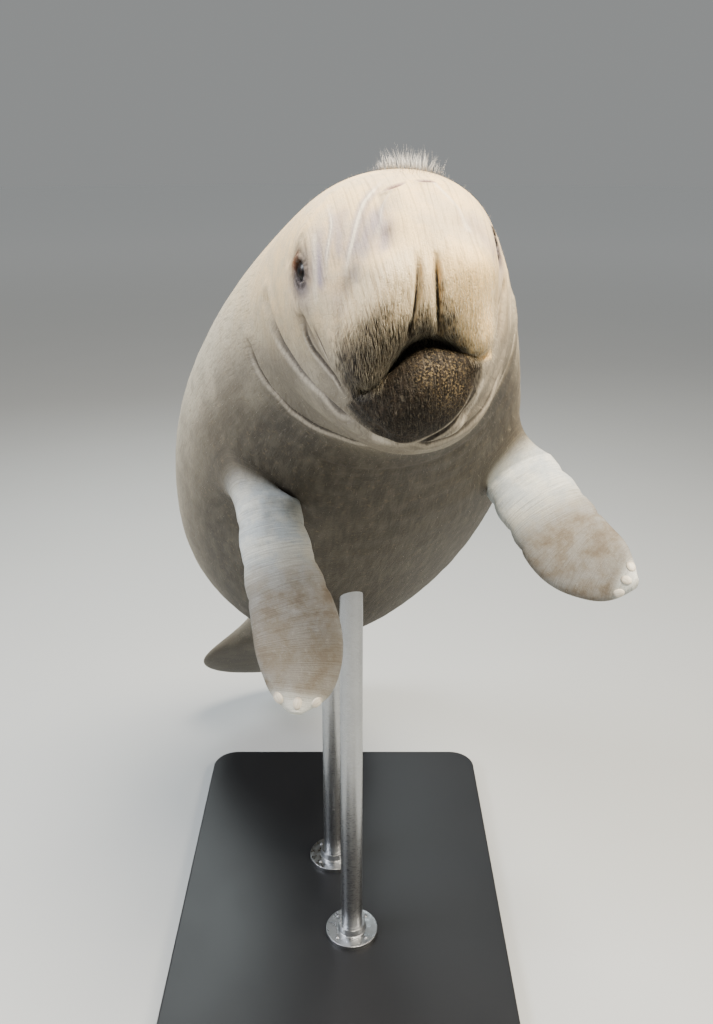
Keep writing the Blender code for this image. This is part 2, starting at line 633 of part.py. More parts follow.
# thick block above or below the arched surface that parts the chin from the muzzle
def mouth_block(way):
    shell = Shell()
    across = np.linspace(-0.16, 0.16, 41)
    height = mouth_height(across)
    loops = []
    for s in (-0.06, 0.02, 0.04, 0.06, 0.08, 0.10, 0.12, 0.15):
        near = slipped(np.stack([across, np.full(41, s), height - way * GAP / 2], axis=1))
        far = near[::-1] + [0, 0, way * 0.3]
        loops.append(shell.add(posed(np.vstack([near, far]))))
    # both blocks are split into triangles the same way, so their arched faces stay a gap apart
    for a, b in zip(loops[:-1], loops[1:]):
        for k in range(len(a)):
            n = (k + 1) % len(a)
            shell.faces.append((a[k], a[n], b[n]))
            shell.faces.append((a[k], b[n], b[k]))
    for loop in (loops[0], loops[-1]):
        for k in range(40):
            shell.faces.append((loop[k], loop[k + 1], loop[80 - k], loop[81 - k]))
    return shell.mesh("block")


def main():
    for thing in list(bpy.data.objects):
        bpy.data.objects.remove(thing)
    shell, roots = body_shell()
    whole = shell.mesh("whole")
    grown_body = grown(whole, GAP)
    skin = BVHTree.FromPolygons([v.co for v in whole.vertices], [p.vertices[:] for p in whole.polygons])
    pieces = {}
    rest = whole
    for name, cut in CUTS.items():
        front, rest = split(rest, *cut_plane(*cut))
        pieces[name] = front
    pieces["tail_paddle"] = rest
    muzzle = make_object("muzzle", pieces["muzzle"], "muzzle")
    head = make_object("head", pieces["head"], "hide")
    make_object("neck", pieces["neck"], "hide")
    make_object("torso", pieces["torso"], "hide")
    make_object("tail_stock", pieces["tail_stock"], "hide")
    make_object("tail_paddle", pieces["tail_paddle"], "hide")

    # nostrils
    for sign in (1, -1):
        at = slipped(np.array(NOSTRIL_AT) * [sign, 1, 1])
        axes = np.array(facing((0.25, -0.62, 0.75), NOSTRIL_LEAN)) * [sign, 1, 1]
        take_out(muzzle, [to_pose(ellipsoid("nostril", at, axes, NOSTRIL_SIZE, 16, 10))])

    # eyes and lids
    for side, sign in (("left", 1), ("right", -1)):
        at = slipped(np.array(EYE_BALL) * [sign, 1, 1])
        look = unit(EYE_LOOK) * [sign, 1, 1]
        normal, reach = skin.ray_cast(Vector(posed(at)), Vector(turn_at(0) @ look))[1:4:2]
        out = turn_at(0).T @ np.array(normal)
        axes = np.array(facing(out * [sign, 1, 1], 12)) * [sign, 1, 1]
        at = at + look * reach - out * EYE_DEPTH
        ball = to_pose(ellipsoid("eye_" + side, at, axes, [EYE_RADIUS] * 3, 18, 10))
        socket = to_pose(ellipsoid("socket", at, axes, [EYE_RADIUS + GAP] * 3, 18, 10))
        rim = at + axes[2] * LID_OUT
        ring = to_pose(ring_mesh("lid", rim, axes, LID_RADIUS, LID_SLANT, LID_THICK))
        lid = make_object("eyelids_" + side, ring, "lid")
        seat = to_pose(ring_mesh("seat", rim, axes, LID_RADIUS, LID_SLANT, LID_THICK + GAP))
        take_out(lid, [socket.copy()])
        take_out(head, [socket, seat])
        make_object("eye_" + side, ball, "eye", 0.08)

    # the mouth parts the chin from the muzzle; the exact solver empties the muzzle here
    chin = make_object("chin", muzzle.data.copy(), "chin")
    take_out(muzzle, [mouth_block(-1)], "MANIFOLD")
    take_out(chin, [mouth_block(1)], "MANIFOLD")

    # flippers with nails
    for side, fins in roots.items():
        fin = Shell()
        away = unit(fins[1].mean(0) - fins[0].mean(0))
        rings = [fin.add(fins[0] + away * GAP / 2)] + [fin.add(ring) for ring in fins[1:]]
        for a, b in zip(rings[:-1], rings[1:]):
            fin.strip(a, b)
        fin.cap(rings[0])
        fin.cap(rings[-1])
        flipper = make_object("flipper_" + side, fin.mesh("flipper"), "flipper")
        take_out(flipper, [grown_body.copy()], "MANIFOLD")
        add_nails(side, flipper)

    # stand
    make_object("stand_base", base_plate("stand_base"), "base", 0.4)
    for name, s in RODS.items():
        centre = posed(np.array([0, s, -0.10]))
        low = BASE_HEIGHT + FLANGE_HEIGHT + 2 * GAP
        bar = cylinder("rod", centre, ROD_RADIUS, low, centre[2])
        rod = make_object("stand_rod_" + name, bar, "steel", 0.3, 0.9)
        take_out(rod, [grown_body.copy()])
        foot = BASE_HEIGHT + GAP
        flange = cylinder("flange", centre, FLANGE_RADIUS, foot, foot + FLANGE_HEIGHT, 48, 0.002)
        make_object("stand_flange_" + name, flange, "steel", 0.3, 0.9)


# three nails at the outer end of each flipper's front face
def add_nails(side, flipper):
    for number, (share, angle) in enumerate(NAILS, 1):
        rings, away = flipper_rings(side, 72, 41)
        k = round(share * 40)
        j = round(angle / 5)
        spot = rings[k, j]
        along = unit(rings[k + 1, j] - rings[k - 1, j])
        round_it = unit(rings[k, (j + 1) % 72] - rings[k, j - 1])
        out = unit(np.cross(round_it, along))
        axes = [unit(np.cross(along, out)), along, out]
        take_out(flipper, [ellipsoid("seat", spot, axes, np.array(NAIL_SIZE) + GAP, 10, 6)])
        nail = ellipsoid("nail", spot, axes, NAIL_SIZE, 10, 6)
        make_object("nail_%s_%d" % (side, number), nail, "nail", 0.4)


main()
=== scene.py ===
import math

import bmesh
import bpy
import numpy as np
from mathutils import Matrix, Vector
from mathutils.bvhtree import BVHTree
from mathutils.kdtree import KDTree


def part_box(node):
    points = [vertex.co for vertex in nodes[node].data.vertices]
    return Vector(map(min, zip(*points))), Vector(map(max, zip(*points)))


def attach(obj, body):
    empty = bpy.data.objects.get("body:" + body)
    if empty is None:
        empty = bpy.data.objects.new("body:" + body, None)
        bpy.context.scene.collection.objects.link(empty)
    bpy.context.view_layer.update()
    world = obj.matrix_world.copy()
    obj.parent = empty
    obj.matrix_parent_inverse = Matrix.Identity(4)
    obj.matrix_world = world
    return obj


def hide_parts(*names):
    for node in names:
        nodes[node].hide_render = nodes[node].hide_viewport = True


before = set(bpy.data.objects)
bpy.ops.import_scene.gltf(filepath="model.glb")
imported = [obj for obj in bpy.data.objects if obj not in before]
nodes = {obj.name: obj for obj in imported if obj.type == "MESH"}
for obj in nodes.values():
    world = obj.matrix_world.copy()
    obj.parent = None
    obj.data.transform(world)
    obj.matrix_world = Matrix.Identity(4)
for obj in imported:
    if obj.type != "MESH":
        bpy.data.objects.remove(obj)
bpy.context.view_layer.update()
print("frame loaded:", len(nodes), "nodes")

# Everything is in metres in the frame's axes: +Z up, the face looks towards -Y, the animal's left is +X.
# The skin is first made straight, with x to the animal's left, s back from the snout and z up, and then posed.
pose = {
    "nose": (0.090, -0.650, 1.520),
    # turns in degrees: to the animal's left, snout up, roll
    "headTurn": (4.6, 18.7, -7.7),
    "bodyTurn": (11.1, 49.4, -1.6),
    "tailTurn": (17.6, 45.9, 0.0),
    "neckBend": (0.20, 0.62),
    "tailBend": (1.15, 1.75),
    # a chewing animal: the snout slips to its left, the chin to its right, and the mouth tilts
    "snoutSlip": 0.017,
    "chinSlip": -0.012,
    "mouthTilt": 0.13,
}

# name, top (s, z), side (x, s, z), bottom (s, z), squareness, coarse rings up to the next section, fine rings
sections = [
    ("inner", (0.046, -0.0905), (0.030, 0.054, -0.1062), (0.046, -0.0965), 2.0, 2, 5),
    ("slit", (0.028, -0.089), (0.050, 0.058, -0.129), (0.036, -0.098), 2.0, 2, 8),
    ("lip", (0.009, -0.080), (0.065, 0.058, -0.127), (0.026, -0.108), 2.0, 3, 16),
    ("pads", (-0.003, -0.054), (0.080, 0.060, -0.114), (0.026, -0.150), 2.1, 4, 22),
    ("disc", (-0.001, -0.012), (0.092, 0.070, -0.086), (0.048, -0.187), 2.2, 4, 22),
    ("nose", (0.014, 0.031), (0.102, 0.090, -0.060), (0.086, -0.199), 2.2, 4, 24),
    ("bridge", (0.050, 0.074), (0.119, 0.118, -0.042), (0.130, -0.205), 2.2, 4, 24),
    ("eye", (0.112, 0.107), (0.133, 0.162, -0.028), (0.182, -0.206), 2.1, 4, 22),
    ("brow", (0.190, 0.126), (0.148, 0.222, -0.026), (0.245, -0.208), 2.1, 3, 20),
    ("nape", (0.300, 0.136), (0.182, 0.320, -0.024), (0.335, -0.216), 2.1, 3, 19),
    ("arms", (0.440, 0.151), (0.228, 0.455, -0.018), (0.462, -0.228), 2.1, 6, 25),
    ("chest", (0.620, 0.170), (0.275, 0.620, -0.015), (0.622, -0.246), 2.1, 5, 20),
    ("belly", (0.860, 0.182), (0.296, 0.860, -0.015), (0.860, -0.232), 2.1, 4, 13),
    ("hips", (1.110, 0.173), (0.268, 1.110, -0.012), (1.110, -0.202), 2.1, 4, 11),
    ("rump", (1.320, 0.145), (0.198, 1.320, -0.005), (1.320, -0.160), 2.1, 3, 8),
    ("stem", (1.470, 0.108), (0.146, 1.470, 0.000), (1.470, -0.104), 2.1, 2, 6),
    ("stock", (1.580, 0.076), (0.126, 1.580, 0.000), (1.580, -0.068), 2.1, 2, 6),
    ("root", (1.680, 0.052), (0.150, 1.680, 0.000), (1.680, -0.047), 2.1, 2, 6),
    ("fan", (1.800, 0.035), (0.205, 1.800, 0.000), (1.800, -0.033), 2.0, 2, 6),
    ("wide", (1.900, 0.027), (0.228, 1.900, 0.000), (1.900, -0.026), 2.0, 5, 17),
]
paddle = {"length": 0.200, "halfWidth": 0.228, "halfThick": 0.027, "arcs": 6}
skinGrid = {"columns": 252, "crowd": 0.11, "crowdEnd": (0.24, 0.46)}
mouth = {
    "middle": -0.0935, "drop": 0.0355, "halfWidth": 0.050, "clear": 0.011,
    "line": [(0.0, 0.030, -0.0935), (0.0125, 0.032, -0.0957), (0.025, 0.037, -0.1024),
             (0.0375, 0.046, -0.1135), (0.050, 0.058, -0.1290), (0.068, 0.058, -0.1270)],
}

# folds, grooves, pads and rims: points (x, s, z) on the left half, radius, height
skinMarks = {
    "lip pad": ([(0.040, 0.002, -0.034), (0.052, 0.008, -0.065), (0.064, 0.026, -0.100)], 0.030, 0.017),
    "lip pad end": ([(0.064, 0.034, -0.118)], 0.018, 0.012),
    "pad crease": ([(0.086, 0.034, -0.024), (0.098, 0.050, -0.056), (0.100, 0.060, -0.088),
                    (0.088, 0.060, -0.118)], 0.012, -0.007),
    "chin pad": ([(0.0, 0.034, -0.136)], 0.036, 0.011),
    "chin side": ([(0.054, 0.062, -0.150), (0.048, 0.066, -0.176)], 0.012, -0.006),
    "snout bridge": ([(0.0, 0.020, 0.034)], 0.040, 0.006),
    "cheek crease": ([(0.121, 0.115, -0.042), (0.110, 0.104, -0.083), (0.096, 0.082, -0.118),
                      (0.080, 0.064, -0.144)], 0.009, -0.007),
    "first throat fold": ([(0.0, 0.086, -0.200), (0.035, 0.088, -0.194), (0.060, 0.105, -0.181),
                           (0.085, 0.122, -0.155), (0.105, 0.145, -0.125), (0.122, 0.172, -0.096),
                           (0.137, 0.198, -0.062), (0.149, 0.215, -0.028), (0.155, 0.230, 0.006)],
                          0.0085, -0.0075),
    "second throat fold": ([(0.0, 0.170, -0.207), (0.040, 0.180, -0.204), (0.080, 0.222, -0.193),
                            (0.116, 0.262, -0.168), (0.145, 0.290, -0.138), (0.166, 0.305, -0.106),
                            (0.180, 0.313, -0.072), (0.188, 0.316, -0.040)], 0.0095, -0.0065),
    "throat roll": ([(0.0, 0.125, -0.206), (0.060, 0.145, -0.190), (0.110, 0.190, -0.140),
                     (0.150, 0.245, -0.066)], 0.022, 0.006),
    "neck crease": ([(0.0, 0.395, -0.222), (0.090, 0.400, -0.200), (0.165, 0.400, -0.130),
                     (0.205, 0.395, -0.050)], 0.012, -0.003),
    "nostril rim": ([(0.0170, 0.036, 0.060)], 0.016, 0.0045),
    "snout dimple": ([(0.040, 0.012, 0.014), (0.040, 0.010, 0.004)], 0.011, -0.0045),
    "snout line": ([(0.030, 0.050, 0.070), (0.046, 0.026, 0.034), (0.066, 0.024, 0.0)], 0.006, -0.002),
    "eye hollow": ([(0.116, 0.104, 0.010)], 0.026, -0.004),
    "brow fold": ([(0.098, 0.100, 0.045), (0.110, 0.115, 0.036), (0.122, 0.135, 0.030)], 0.006, -0.0025),
    "tail crease": ([(0.0, 1.560, 0.085), (0.130, 1.570, 0.0), (0.0, 1.570, -0.075)], 0.012, -0.002),
}


def ease(low, high, value):
    part = np.clip((np.asarray(value, float) - low) / (high - low), 0, 1)
    return part * part * (3 - 2 * part)


# natural cubic spline through the rows of v
def spline(t, v, q):
    count = len(t)
    step = np.diff(t)
    left = np.eye(count)
    right = np.zeros(v.shape)
    for i in range(1, count - 1):
        left[i, i - 1:i + 2] = step[i - 1], 2 * (step[i - 1] + step[i]), step[i]
        right[i] = 6 * ((v[i + 1] - v[i]) / step[i] - (v[i] - v[i - 1]) / step[i - 1])
    bend = np.linalg.solve(left, right)
    k = np.clip(np.searchsorted(t, q) - 1, 0, count - 2)
    wide = step[k][:, None]
    a = (t[k + 1] - q)[:, None] / wide
    b = (q - t[k])[:, None] / wide
    return a * v[k] + b * v[k + 1] + ((a ** 3 - a) * bend[k] + (b ** 3 - b) * bend[k + 1]) * wide ** 2 / 6


# section sizes, their places along the skin, the fine rings' places and their place counted in coarse rings
def sectionRows():
    rows = [[*top, *side, *bottom, square] for name, top, side, bottom, square, coarse, fine in sections]
    start = sections[-1][2][1]
    for k in range(1, paddle["arcs"] + 1):
        turn = math.pi / 2 * k / paddle["arcs"]
        s = start + paddle["length"] * math.sin(turn)
        thick = paddle["halfThick"] * (0.35 + 0.65 * math.cos(turn)) if k < paddle["arcs"] else 0.0
        rows.append([s, thick, paddle["halfWidth"] * math.cos(turn), s, 0.0, s, -0.96 * thick, 2.0])
    rows = np.array(rows)
    marks = [0.0]
    for a, b in zip(rows[:-1], rows[1:]):
        chord = np.hypot(*(b[0:2] - a[0:2])) + np.linalg.norm(b[2:5] - a[2:5]) + np.hypot(*(b[5:7] - a[5:7]))
        marks.append(marks[-1] + chord / 3)
    marks = np.array(marks)
    stops, places = [marks[0]], [0.0]
    for k, section in enumerate(sections):
        last = marks[-1] if k == len(sections) - 1 else marks[k + 1]
        stops.extend(np.linspace(marks[k], last, section[6] + 1)[1:])
        places.extend(np.linspace(places[-1], places[-1] + section[5], section[6] + 1)[1:])
    return marks, rows, np.array(stops), np.array(places)


# height of the closed mouth, which arches up in the middle
def mouthHeight(x):
    return mouth["middle"] - mouth["drop"] * np.minimum(np.abs(x) / mouth["halfWidth"], 1.03) ** 2


# bare body as a grid of rings, before marks and pose; the first rings line the mouth
def bodyGrid():
    marks, rows, stops, places = sectionRows()
    columns = skinGrid["columns"]
    around = np.arange(columns) / columns * 2 * math.pi
    grid = np.zeros((len(stops), columns, 3))
    for i, (topS, topZ, x, s, z, lowS, lowZ, square) in enumerate(spline(marks, rows, stops)):
        crowd = skinGrid["crowd"] * (1 - ease(*skinGrid["crowdEnd"], s))
        turn = around - crowd * np.sin(4 * around)
        c, u = np.cos(turn), np.sin(turn)
        c = np.sign(c) * np.abs(c) ** (2 / square)
        u = np.sign(u) * np.abs(u) ** (2 / square)
        top = np.array([0, topS - s, topZ - z])
        low = np.array([0, lowS - s, lowZ - z])
        grid[i] = np.array([0, s, z]) + np.outer(c, [x, 0, 0])
        grid[i] += np.outer(u, (top - low) / 2) + np.outer(u * u, (top + low) / 2)
        middle = z + u * u * (top + low)[2] / 2
        grid[i, :, 2] += (mouthHeight(grid[i, :, 0]) - middle) * (1 - ease(2, 5, places[i]))
    return grid


def distanceToLine(points, line):
    line = np.array(line, float)
    if len(line) == 1:
        return np.linalg.norm(points - line[0], axis=-1)
    best = np.full(points.shape[:-1], 9.0)
    for a, b in zip(line[:-1], line[1:]):
        part = np.clip(((points - a) @ (b - a)) / ((b - a) @ (b - a)), 0, 1)
        best = np.minimum(best, np.linalg.norm(points - a - part[..., None] * (b - a), axis=-1))
    return best


def leftHalf(points):
    return np.abs(points) * [1, 0, 0] + points * [0, 1, 1]


def markHeight(points, marks):
    half = leftHalf(points)
    total = np.zeros(points.shape[:-1])
    for line, radius, height in marks.values():
        away = distanceToLine(half, line) / radius
        total += height * np.exp(-away ** 2)
        if height < 0 and len(line) > 4:
            total -= 0.4 * height * np.exp(-((away - 2.0) / 0.9) ** 2)
    return total


# slide the snout and the chin sideways, and tilt the mouth
def slipped(points):
    x, s, z = points[..., 0], points[..., 1], points[..., 2]
    low = ease(-0.125, -0.185, z)
    snout = ease(-0.090, -0.020, z) * ease(0.130, 0.075, z)
    moved = np.array(points)
    moved[..., 0] += (1 - ease(0.03, 0.10, s)) * (pose["snoutSlip"] * snout + pose["chinSlip"] * low)
    moved[..., 2] += pose["mouthTilt"] * x * (1 - ease(0.05, 0.13, s)) * ease(-0.02, -0.09, z) * (1 - 0.6 * low)
    return moved


def turned(yaw, pitch, roll):
    y, p, r = np.radians([yaw, pitch, roll])
    aboutZ = np.array([[math.cos(y), -math.sin(y), 0], [math.sin(y), math.cos(y), 0], [0, 0, 1]])
    aboutX = np.array([[1, 0, 0], [0, math.cos(p), math.sin(p)], [0, -math.sin(p), math.cos(p)]])
    aboutY = np.array([[math.cos(r), 0, math.sin(r)], [0, 1, 0], [-math.sin(r), 0, math.cos(r)]])
    return aboutZ @ aboutX @ aboutY


def turnAt(s):
    neck = ease(*pose["neckBend"], s)
    tail = ease(*pose["tailBend"], s)
    threeTurns = zip(pose["headTurn"], pose["bodyTurn"], pose["tailTurn"])
    return turned(*[h * (1 - neck) + b * (neck - tail) + t * tail for h, b, t in threeTurns])


spineStep = 0.01
spineS = np.arange(-0.1, 2.2, spineStep)
spineTurn = np.array([turnAt(s) for s in spineS])
spineMoves = (spineTurn[1:, :, 1] + spineTurn[:-1, :, 1]) / 2 * spineStep
spineAt = np.vstack([np.zeros(3), np.cumsum(spineMoves, axis=0)])
spineAt += np.array(pose["nose"]) - [np.interp(0, spineS, spineAt[:, k]) for k in range(3)]


# put points of the straight animal into the pose
def posed(points):
    points = np.asarray(points, float)
    flat = points.reshape(-1, 3)
    place = (flat[:, 1] - spineS[0]) / spineStep
    i = np.clip(place.astype(int), 0, len(spineS) - 2)
    f = (place - i)[:, None]
    centre = spineAt[i] * (1 - f) + spineAt[i + 1] * f
    side = spineTurn[i, :, 0] * (1 - f) + spineTurn[i + 1, :, 0] * f
    up = spineTurn[i, :, 2] * (1 - f) + spineTurn[i + 1, :, 2] * f
    return (centre + side * flat[:, :1] + up * flat[:, 2:]).reshape(points.shape)


def unit(v):
    v = np.asarray(v, float)
    return v / np.linalg.norm(v, axis=-1, keepdims=True)


# the same rigid turn for everything near the shoulders, for the flippers' place in the straight frame
def straightened(points, s=0.585):
    k = int((s - spineS[0]) / spineStep)
    return (np.asarray(points) - spineAt[k]) @ spineTurn[k] + [0, s, 0]


# flippers in the pose: the way the front face looks, then centre, half width, half thickness to the tip
flippers = {
    "right": ((-0.10, 0.90, -0.42), [
        (-0.094, -0.346, 1.114, 0.047, 0.034), (-0.082, -0.389, 1.075, 0.049, 0.029),
        (-0.068, -0.428, 1.035, 0.054, 0.025), (-0.052, -0.465, 0.998, 0.060, 0.021),
        (-0.043, -0.498, 0.966, 0.060, 0.017), (-0.042, -0.526, 0.936, 0.050, 0.013),
        (-0.045, -0.546, 0.914, 0.030, 0.010), (-0.046, -0.557, 0.903, 0.008, 0.006)]),
    "left": ((0.10, 0.90, -0.42), [
        (0.294, -0.206, 1.114, 0.060, 0.034), (0.314, -0.245, 1.091, 0.062, 0.030),
        (0.335, -0.284, 1.068, 0.064, 0.026), (0.359, -0.327, 1.042, 0.065, 0.022),
        (0.386, -0.363, 1.032, 0.057, 0.018), (0.407, -0.391, 1.028, 0.044, 0.013),
        (0.421, -0.410, 1.028, 0.026, 0.010), (0.430, -0.423, 1.029, 0.008, 0.006)]),
}
shoulder = {"s": (0.528, 0.645), "columns": (216, 234), "rings": 13, "finRings": 60, "smoothing": 130}


# share of the flipper's length, width of the crease in such shares, how far it pinches (above 0: swells)
wristCreases = ((0.08, 0.018, -0.045), (0.15, 0.030, 0.030), (0.24, 0.016, -0.040), (0.31, 0.022, 0.022),
                (0.37, 0.014, -0.035))


def flipperRings(side, around, count):
    face, stations = flippers[side]
    rows = np.array(stations)
    marks = np.concatenate([[0], np.cumsum(np.linalg.norm(np.diff(rows[:, :3], axis=0), axis=1))])
    q = marks[-1] * (1 - (1 - np.linspace(0, 1, count)) ** 1.25)
    fine = spline(marks, rows, q)
    away = unit(spline(marks, rows, q + 0.001)[:, :3] - spline(marks, rows, q - 0.001)[:, :3])
    wide = unit(np.cross(np.array(face), away))
    thin = np.cross(away, wide)
    turn = np.arange(around) / around * 2 * math.pi
    rings = []
    for k in range(count):
        ring = np.outer(np.cos(turn), wide[k] * fine[k, 3]) + np.outer(np.sin(turn), thin[k] * fine[k, 4])
        rings.append(fine[k, :3] + ring)
    return np.array(rings), away


# smooth sleeve of rings from a hole in the body to the first ring of a flipper
def sleeveRings(hole, inward, ring, away, count):
    best = None
    for way in (1, -1):
        for shift in range(len(ring)):
            trial = np.roll(ring[::way], shift, axis=0)
            cost = ((trial - trial.mean(0) - hole + hole.mean(0)) ** 2).sum()
            if best is None or cost < best[0]:
                best = (cost, way, shift)
    ring = np.roll(ring[::best[1]], best[2], axis=0)
    reach = np.linalg.norm(ring - hole, axis=1)[:, None]
    rings = []
    for k in range(1, count):
        t = k / count
        h00, h10 = 2 * t ** 3 - 3 * t ** 2 + 1, t ** 3 - 2 * t ** 2 + t
        h01, h11 = -2 * t ** 3 + 3 * t ** 2, t ** 3 - t ** 2
        rings.append(h00 * hole + h10 * inward * reach * 0.9 + h01 * ring + h11 * away * reach * 0.9)
    return rings, best[1], best[2]


# a mesh in the making: points, faces, and for each face corner its place on the unwrap
class Maker:
    def __init__(self):
        self.points, self.faces, self.corners = [], [], []

    def add(self, points):
        start = len(self.points)
        self.points.extend(np.asarray(points, float).reshape(-1, 3))
        return list(range(start, len(self.points)))

    def face(self, ids, corners=None):
        self.faces.append(tuple(ids))
        self.corners.extend(corners or [(0.0, 0.0)] * len(ids))

    # closed strip between two loops; u runs round and v along
    def strip(self, a, b, uSpan=(0, 1), vSpan=(0, 1)):
        count = len(a)
        for k in range(count):
            n = (k + 1) % count
            u0 = uSpan[0] + (uSpan[1] - uSpan[0]) * k / count
            u1 = uSpan[0] + (uSpan[1] - uSpan[0]) * (k + 1) / count
            self.face((a[k], a[n], b[n], b[k]), [(u0, vSpan[0]), (u1, vSpan[0]), (u1, vSpan[1]), (u0, vSpan[1])])

    def cap(self, loop, uSpan=(0, 1), v=0.0, flip=False):
        middle = self.add(np.mean([self.points[i] for i in loop], axis=0))[0]
        for k in range(len(loop)):
            n = (k + 1) % len(loop)
            u = uSpan[0] + (uSpan[1] - uSpan[0]) * (k + 0.5) / len(loop)
            ids = (loop[k], loop[n], middle) if not flip else (loop[n], loop[k], middle)
            self.face(ids, [(u, v)] * 3)

    def mesh(self, name):
        data = bpy.data.meshes.new(name)
        data.from_pydata([tuple(p) for p in self.points], [], self.faces)
        layer = data.uv_layers.new(name="OFBake")
        layer.data.foreach_set("uv", np.array(self.corners, np.float32).ravel())
        return data


def tidyMesh(data, join=1e-6):
    bm = bmesh.new()
    bm.from_mesh(data)
    bmesh.ops.remove_doubles(bm, verts=bm.verts, dist=join)
    loose = [v for v in bm.verts if not v.link_faces]
    bmesh.ops.delete(bm, geom=loose, context="VERTS")
    bmesh.ops.recalc_face_normals(bm, faces=bm.faces)
    bm.to_mesh(data)
    bm.free()
    data.shade_smooth()
    return data


def coordinates(data):
    points = np.zeros(len(data.vertices) * 3, np.float32)
    data.vertices.foreach_get("co", points)
    return points.reshape(-1, 3).astype(float)


def vertexNormals(data):
    normal = np.zeros(len(data.vertices) * 3, np.float32)
    data.vertex_normals.foreach_get("vector", normal)
    return normal.reshape(-1, 3).astype(float)


def setCoordinates(data, points):
    data.vertices.foreach_set("co", points.astype(np.float32).ravel())
    data.update()


def keepAttribute(data, name, values):
    kind = "FLOAT_VECTOR" if values.ndim == 2 else "FLOAT"
    layer = data.attributes.new(name, kind, "POINT")
    layer.data.foreach_set("vector" if values.ndim == 2 else "value", values.astype(np.float32).ravel())


def readAttribute(data, name):
    layer = data.attributes[name]
    vector = layer.data_type == "FLOAT_VECTOR"
    values = np.zeros(len(layer.data) * (3 if vector else 1), np.float32)
    layer.data.foreach_get("vector" if vector else "value", values)
    return values.reshape(-1, 3).astype(float) if vector else values.astype(float)


def addPiece(name, data, slotName, *replaced):
    thing = bpy.data.objects.new(name, data)
    bpy.context.scene.collection.objects.link(thing)
    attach(thing, "root")
    if replaced:
        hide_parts(*replaced)
    return thing


# the eyes stay where the solids have them
eyes = {
    "radius": 0.0150, "look": (0.86, -0.50, 0.10), "openLong": 0.0126, "openShort": 0.0096, "lean": 12,
    "spread": 0.025, "cuts": 2,
}
nostrils = {"at": (0.0165, 0.0400, 0.0660), "look": (0.25, -0.62, 0.75), "lean": 32, "long": 0.0085,
            "short": 0.0042, "depth": 0.0080, "spread": 0.020, "cuts": 2}


def facing(look, lean=0.0):
    out = unit(look)
    side = unit(np.cross(out, [0, 0, 1]))
    up = np.cross(side, out)
    a = math.radians(lean)
    return np.array([side * math.cos(a) + up * math.sin(a), up * math.cos(a) - side * math.sin(a), out])


# body in the straight frame, with the two shoulder holes left open; finer faces by the eyes and nostrils
def bodyMesh():
    grid = bodyGrid()
    marks, rows, stops, places = sectionRows()
    middleS = spline(marks, rows, stops)[:, 3]
    columns = skinGrid["columns"]
    low, high = shoulder["columns"]
    half = columns // 2
    holes = {"left": (low, high), "right": ((half - high) % columns, (half - low) % columns)}
    first = int(np.argmin(np.abs(middleS - shoulder["s"][0])))
    last = int(np.argmin(np.abs(middleS - shoulder["s"][1])))
    maker = Maker()
    rings = [maker.add(ring) for ring in grid[:-1]]
    start = maker.add(grid[0].mean(0))[0]
    tip = maker.add(grid[-1].mean(0))[0]
    u = np.arange(columns + 1) / columns * 0.80
    v = 0.01 + 0.98 * np.arange(len(grid)) / (len(grid) - 1)
    for i in range(len(rings) - 1):
        for j in range(columns):
            if any(first <= i < last and a <= j < b for a, b in holes.values()):
                continue
            n = (j + 1) % columns
            maker.face((rings[i][j], rings[i][n], rings[i + 1][n], rings[i + 1][j]),
                       [(u[j], v[i]), (u[j + 1], v[i]), (u[j + 1], v[i + 1]), (u[j], v[i + 1])])
    for j in range(columns):
        n = (j + 1) % columns
        maker.face((start, rings[0][n], rings[0][j]), [(u[j], 0.0), (u[j + 1], v[0]), (u[j], v[0])])
        maker.face((tip, rings[-1][j], rings[-1][n]), [(u[j], 1.0), (u[j], v[-2]), (u[j + 1], v[-2])])
    data = maker.mesh("body")
    loops = {}
    for side, (a, b) in holes.items():
        path = [(first, j) for j in range(a, b)] + [(i, b) for i in range(first, last)]
        path += [(last, j) for j in range(b, a, -1)] + [(i, a) for i in range(last, first, -1)]
        beyond = [(i + (i == last) - (i == first), (j + (j == b) - (j == a)) % columns) for i, j in path]
        loops[side] = ([rings[i][j % columns] for i, j in path], [rings[i][j] for i, j in beyond])
    around = [(i, j % columns) for i in range(first - 4, last + 5)
              for a, b in holes.values() for j in range(a - 4, b + 5)]
    soft = {rings[i][j] for i, j in around}
    place = np.zeros(len(data.vertices))
    for i, ring in enumerate(rings):
        place[ring] = places[i]
    place[tip] = places[-1]
    keepAttribute(data, "place", place)
    return data, loops, soft


# split the faces round a few spots into finer ones
def refine(data, spots, radius, cuts):
    bm = bmesh.new()
    bm.from_mesh(data)
    chosen = set()
    for face in bm.faces:
        middle = face.calc_center_median()
        if any((middle - Vector(spot)).length < radius for spot in spots):
            chosen.update(face.edges)
    bmesh.ops.subdivide_edges(bm, edges=list(chosen), cuts=cuts, use_grid_fill=True)
    bm.to_mesh(data)
    bm.free()


# average of the points joined to each point, a number of times, for some of the points
def soften(data, points, chosen, turns):
    edges = np.zeros(len(data.edges) * 2, np.int64)
    data.edges.foreach_get("vertices", edges)
    edges = edges.reshape(-1, 2)
    chosen = np.array(sorted(chosen))
    member = np.zeros(len(points), bool)
    member[chosen] = True
    edges = edges[member[edges].any(axis=1)]
    count = np.bincount(edges.ravel(), minlength=len(points)).astype(float)
    chosen = chosen[count[chosen] > 0]
    for turn in range(turns):
        total = np.zeros_like(points)
        np.add.at(total, edges[:, 0], points[edges[:, 1]])
        np.add.at(total, edges[:, 1], points[edges[:, 0]])
        points[chosen] += 0.5 * (total[chosen] / count[chosen][:, None] - points[chosen])
    return points


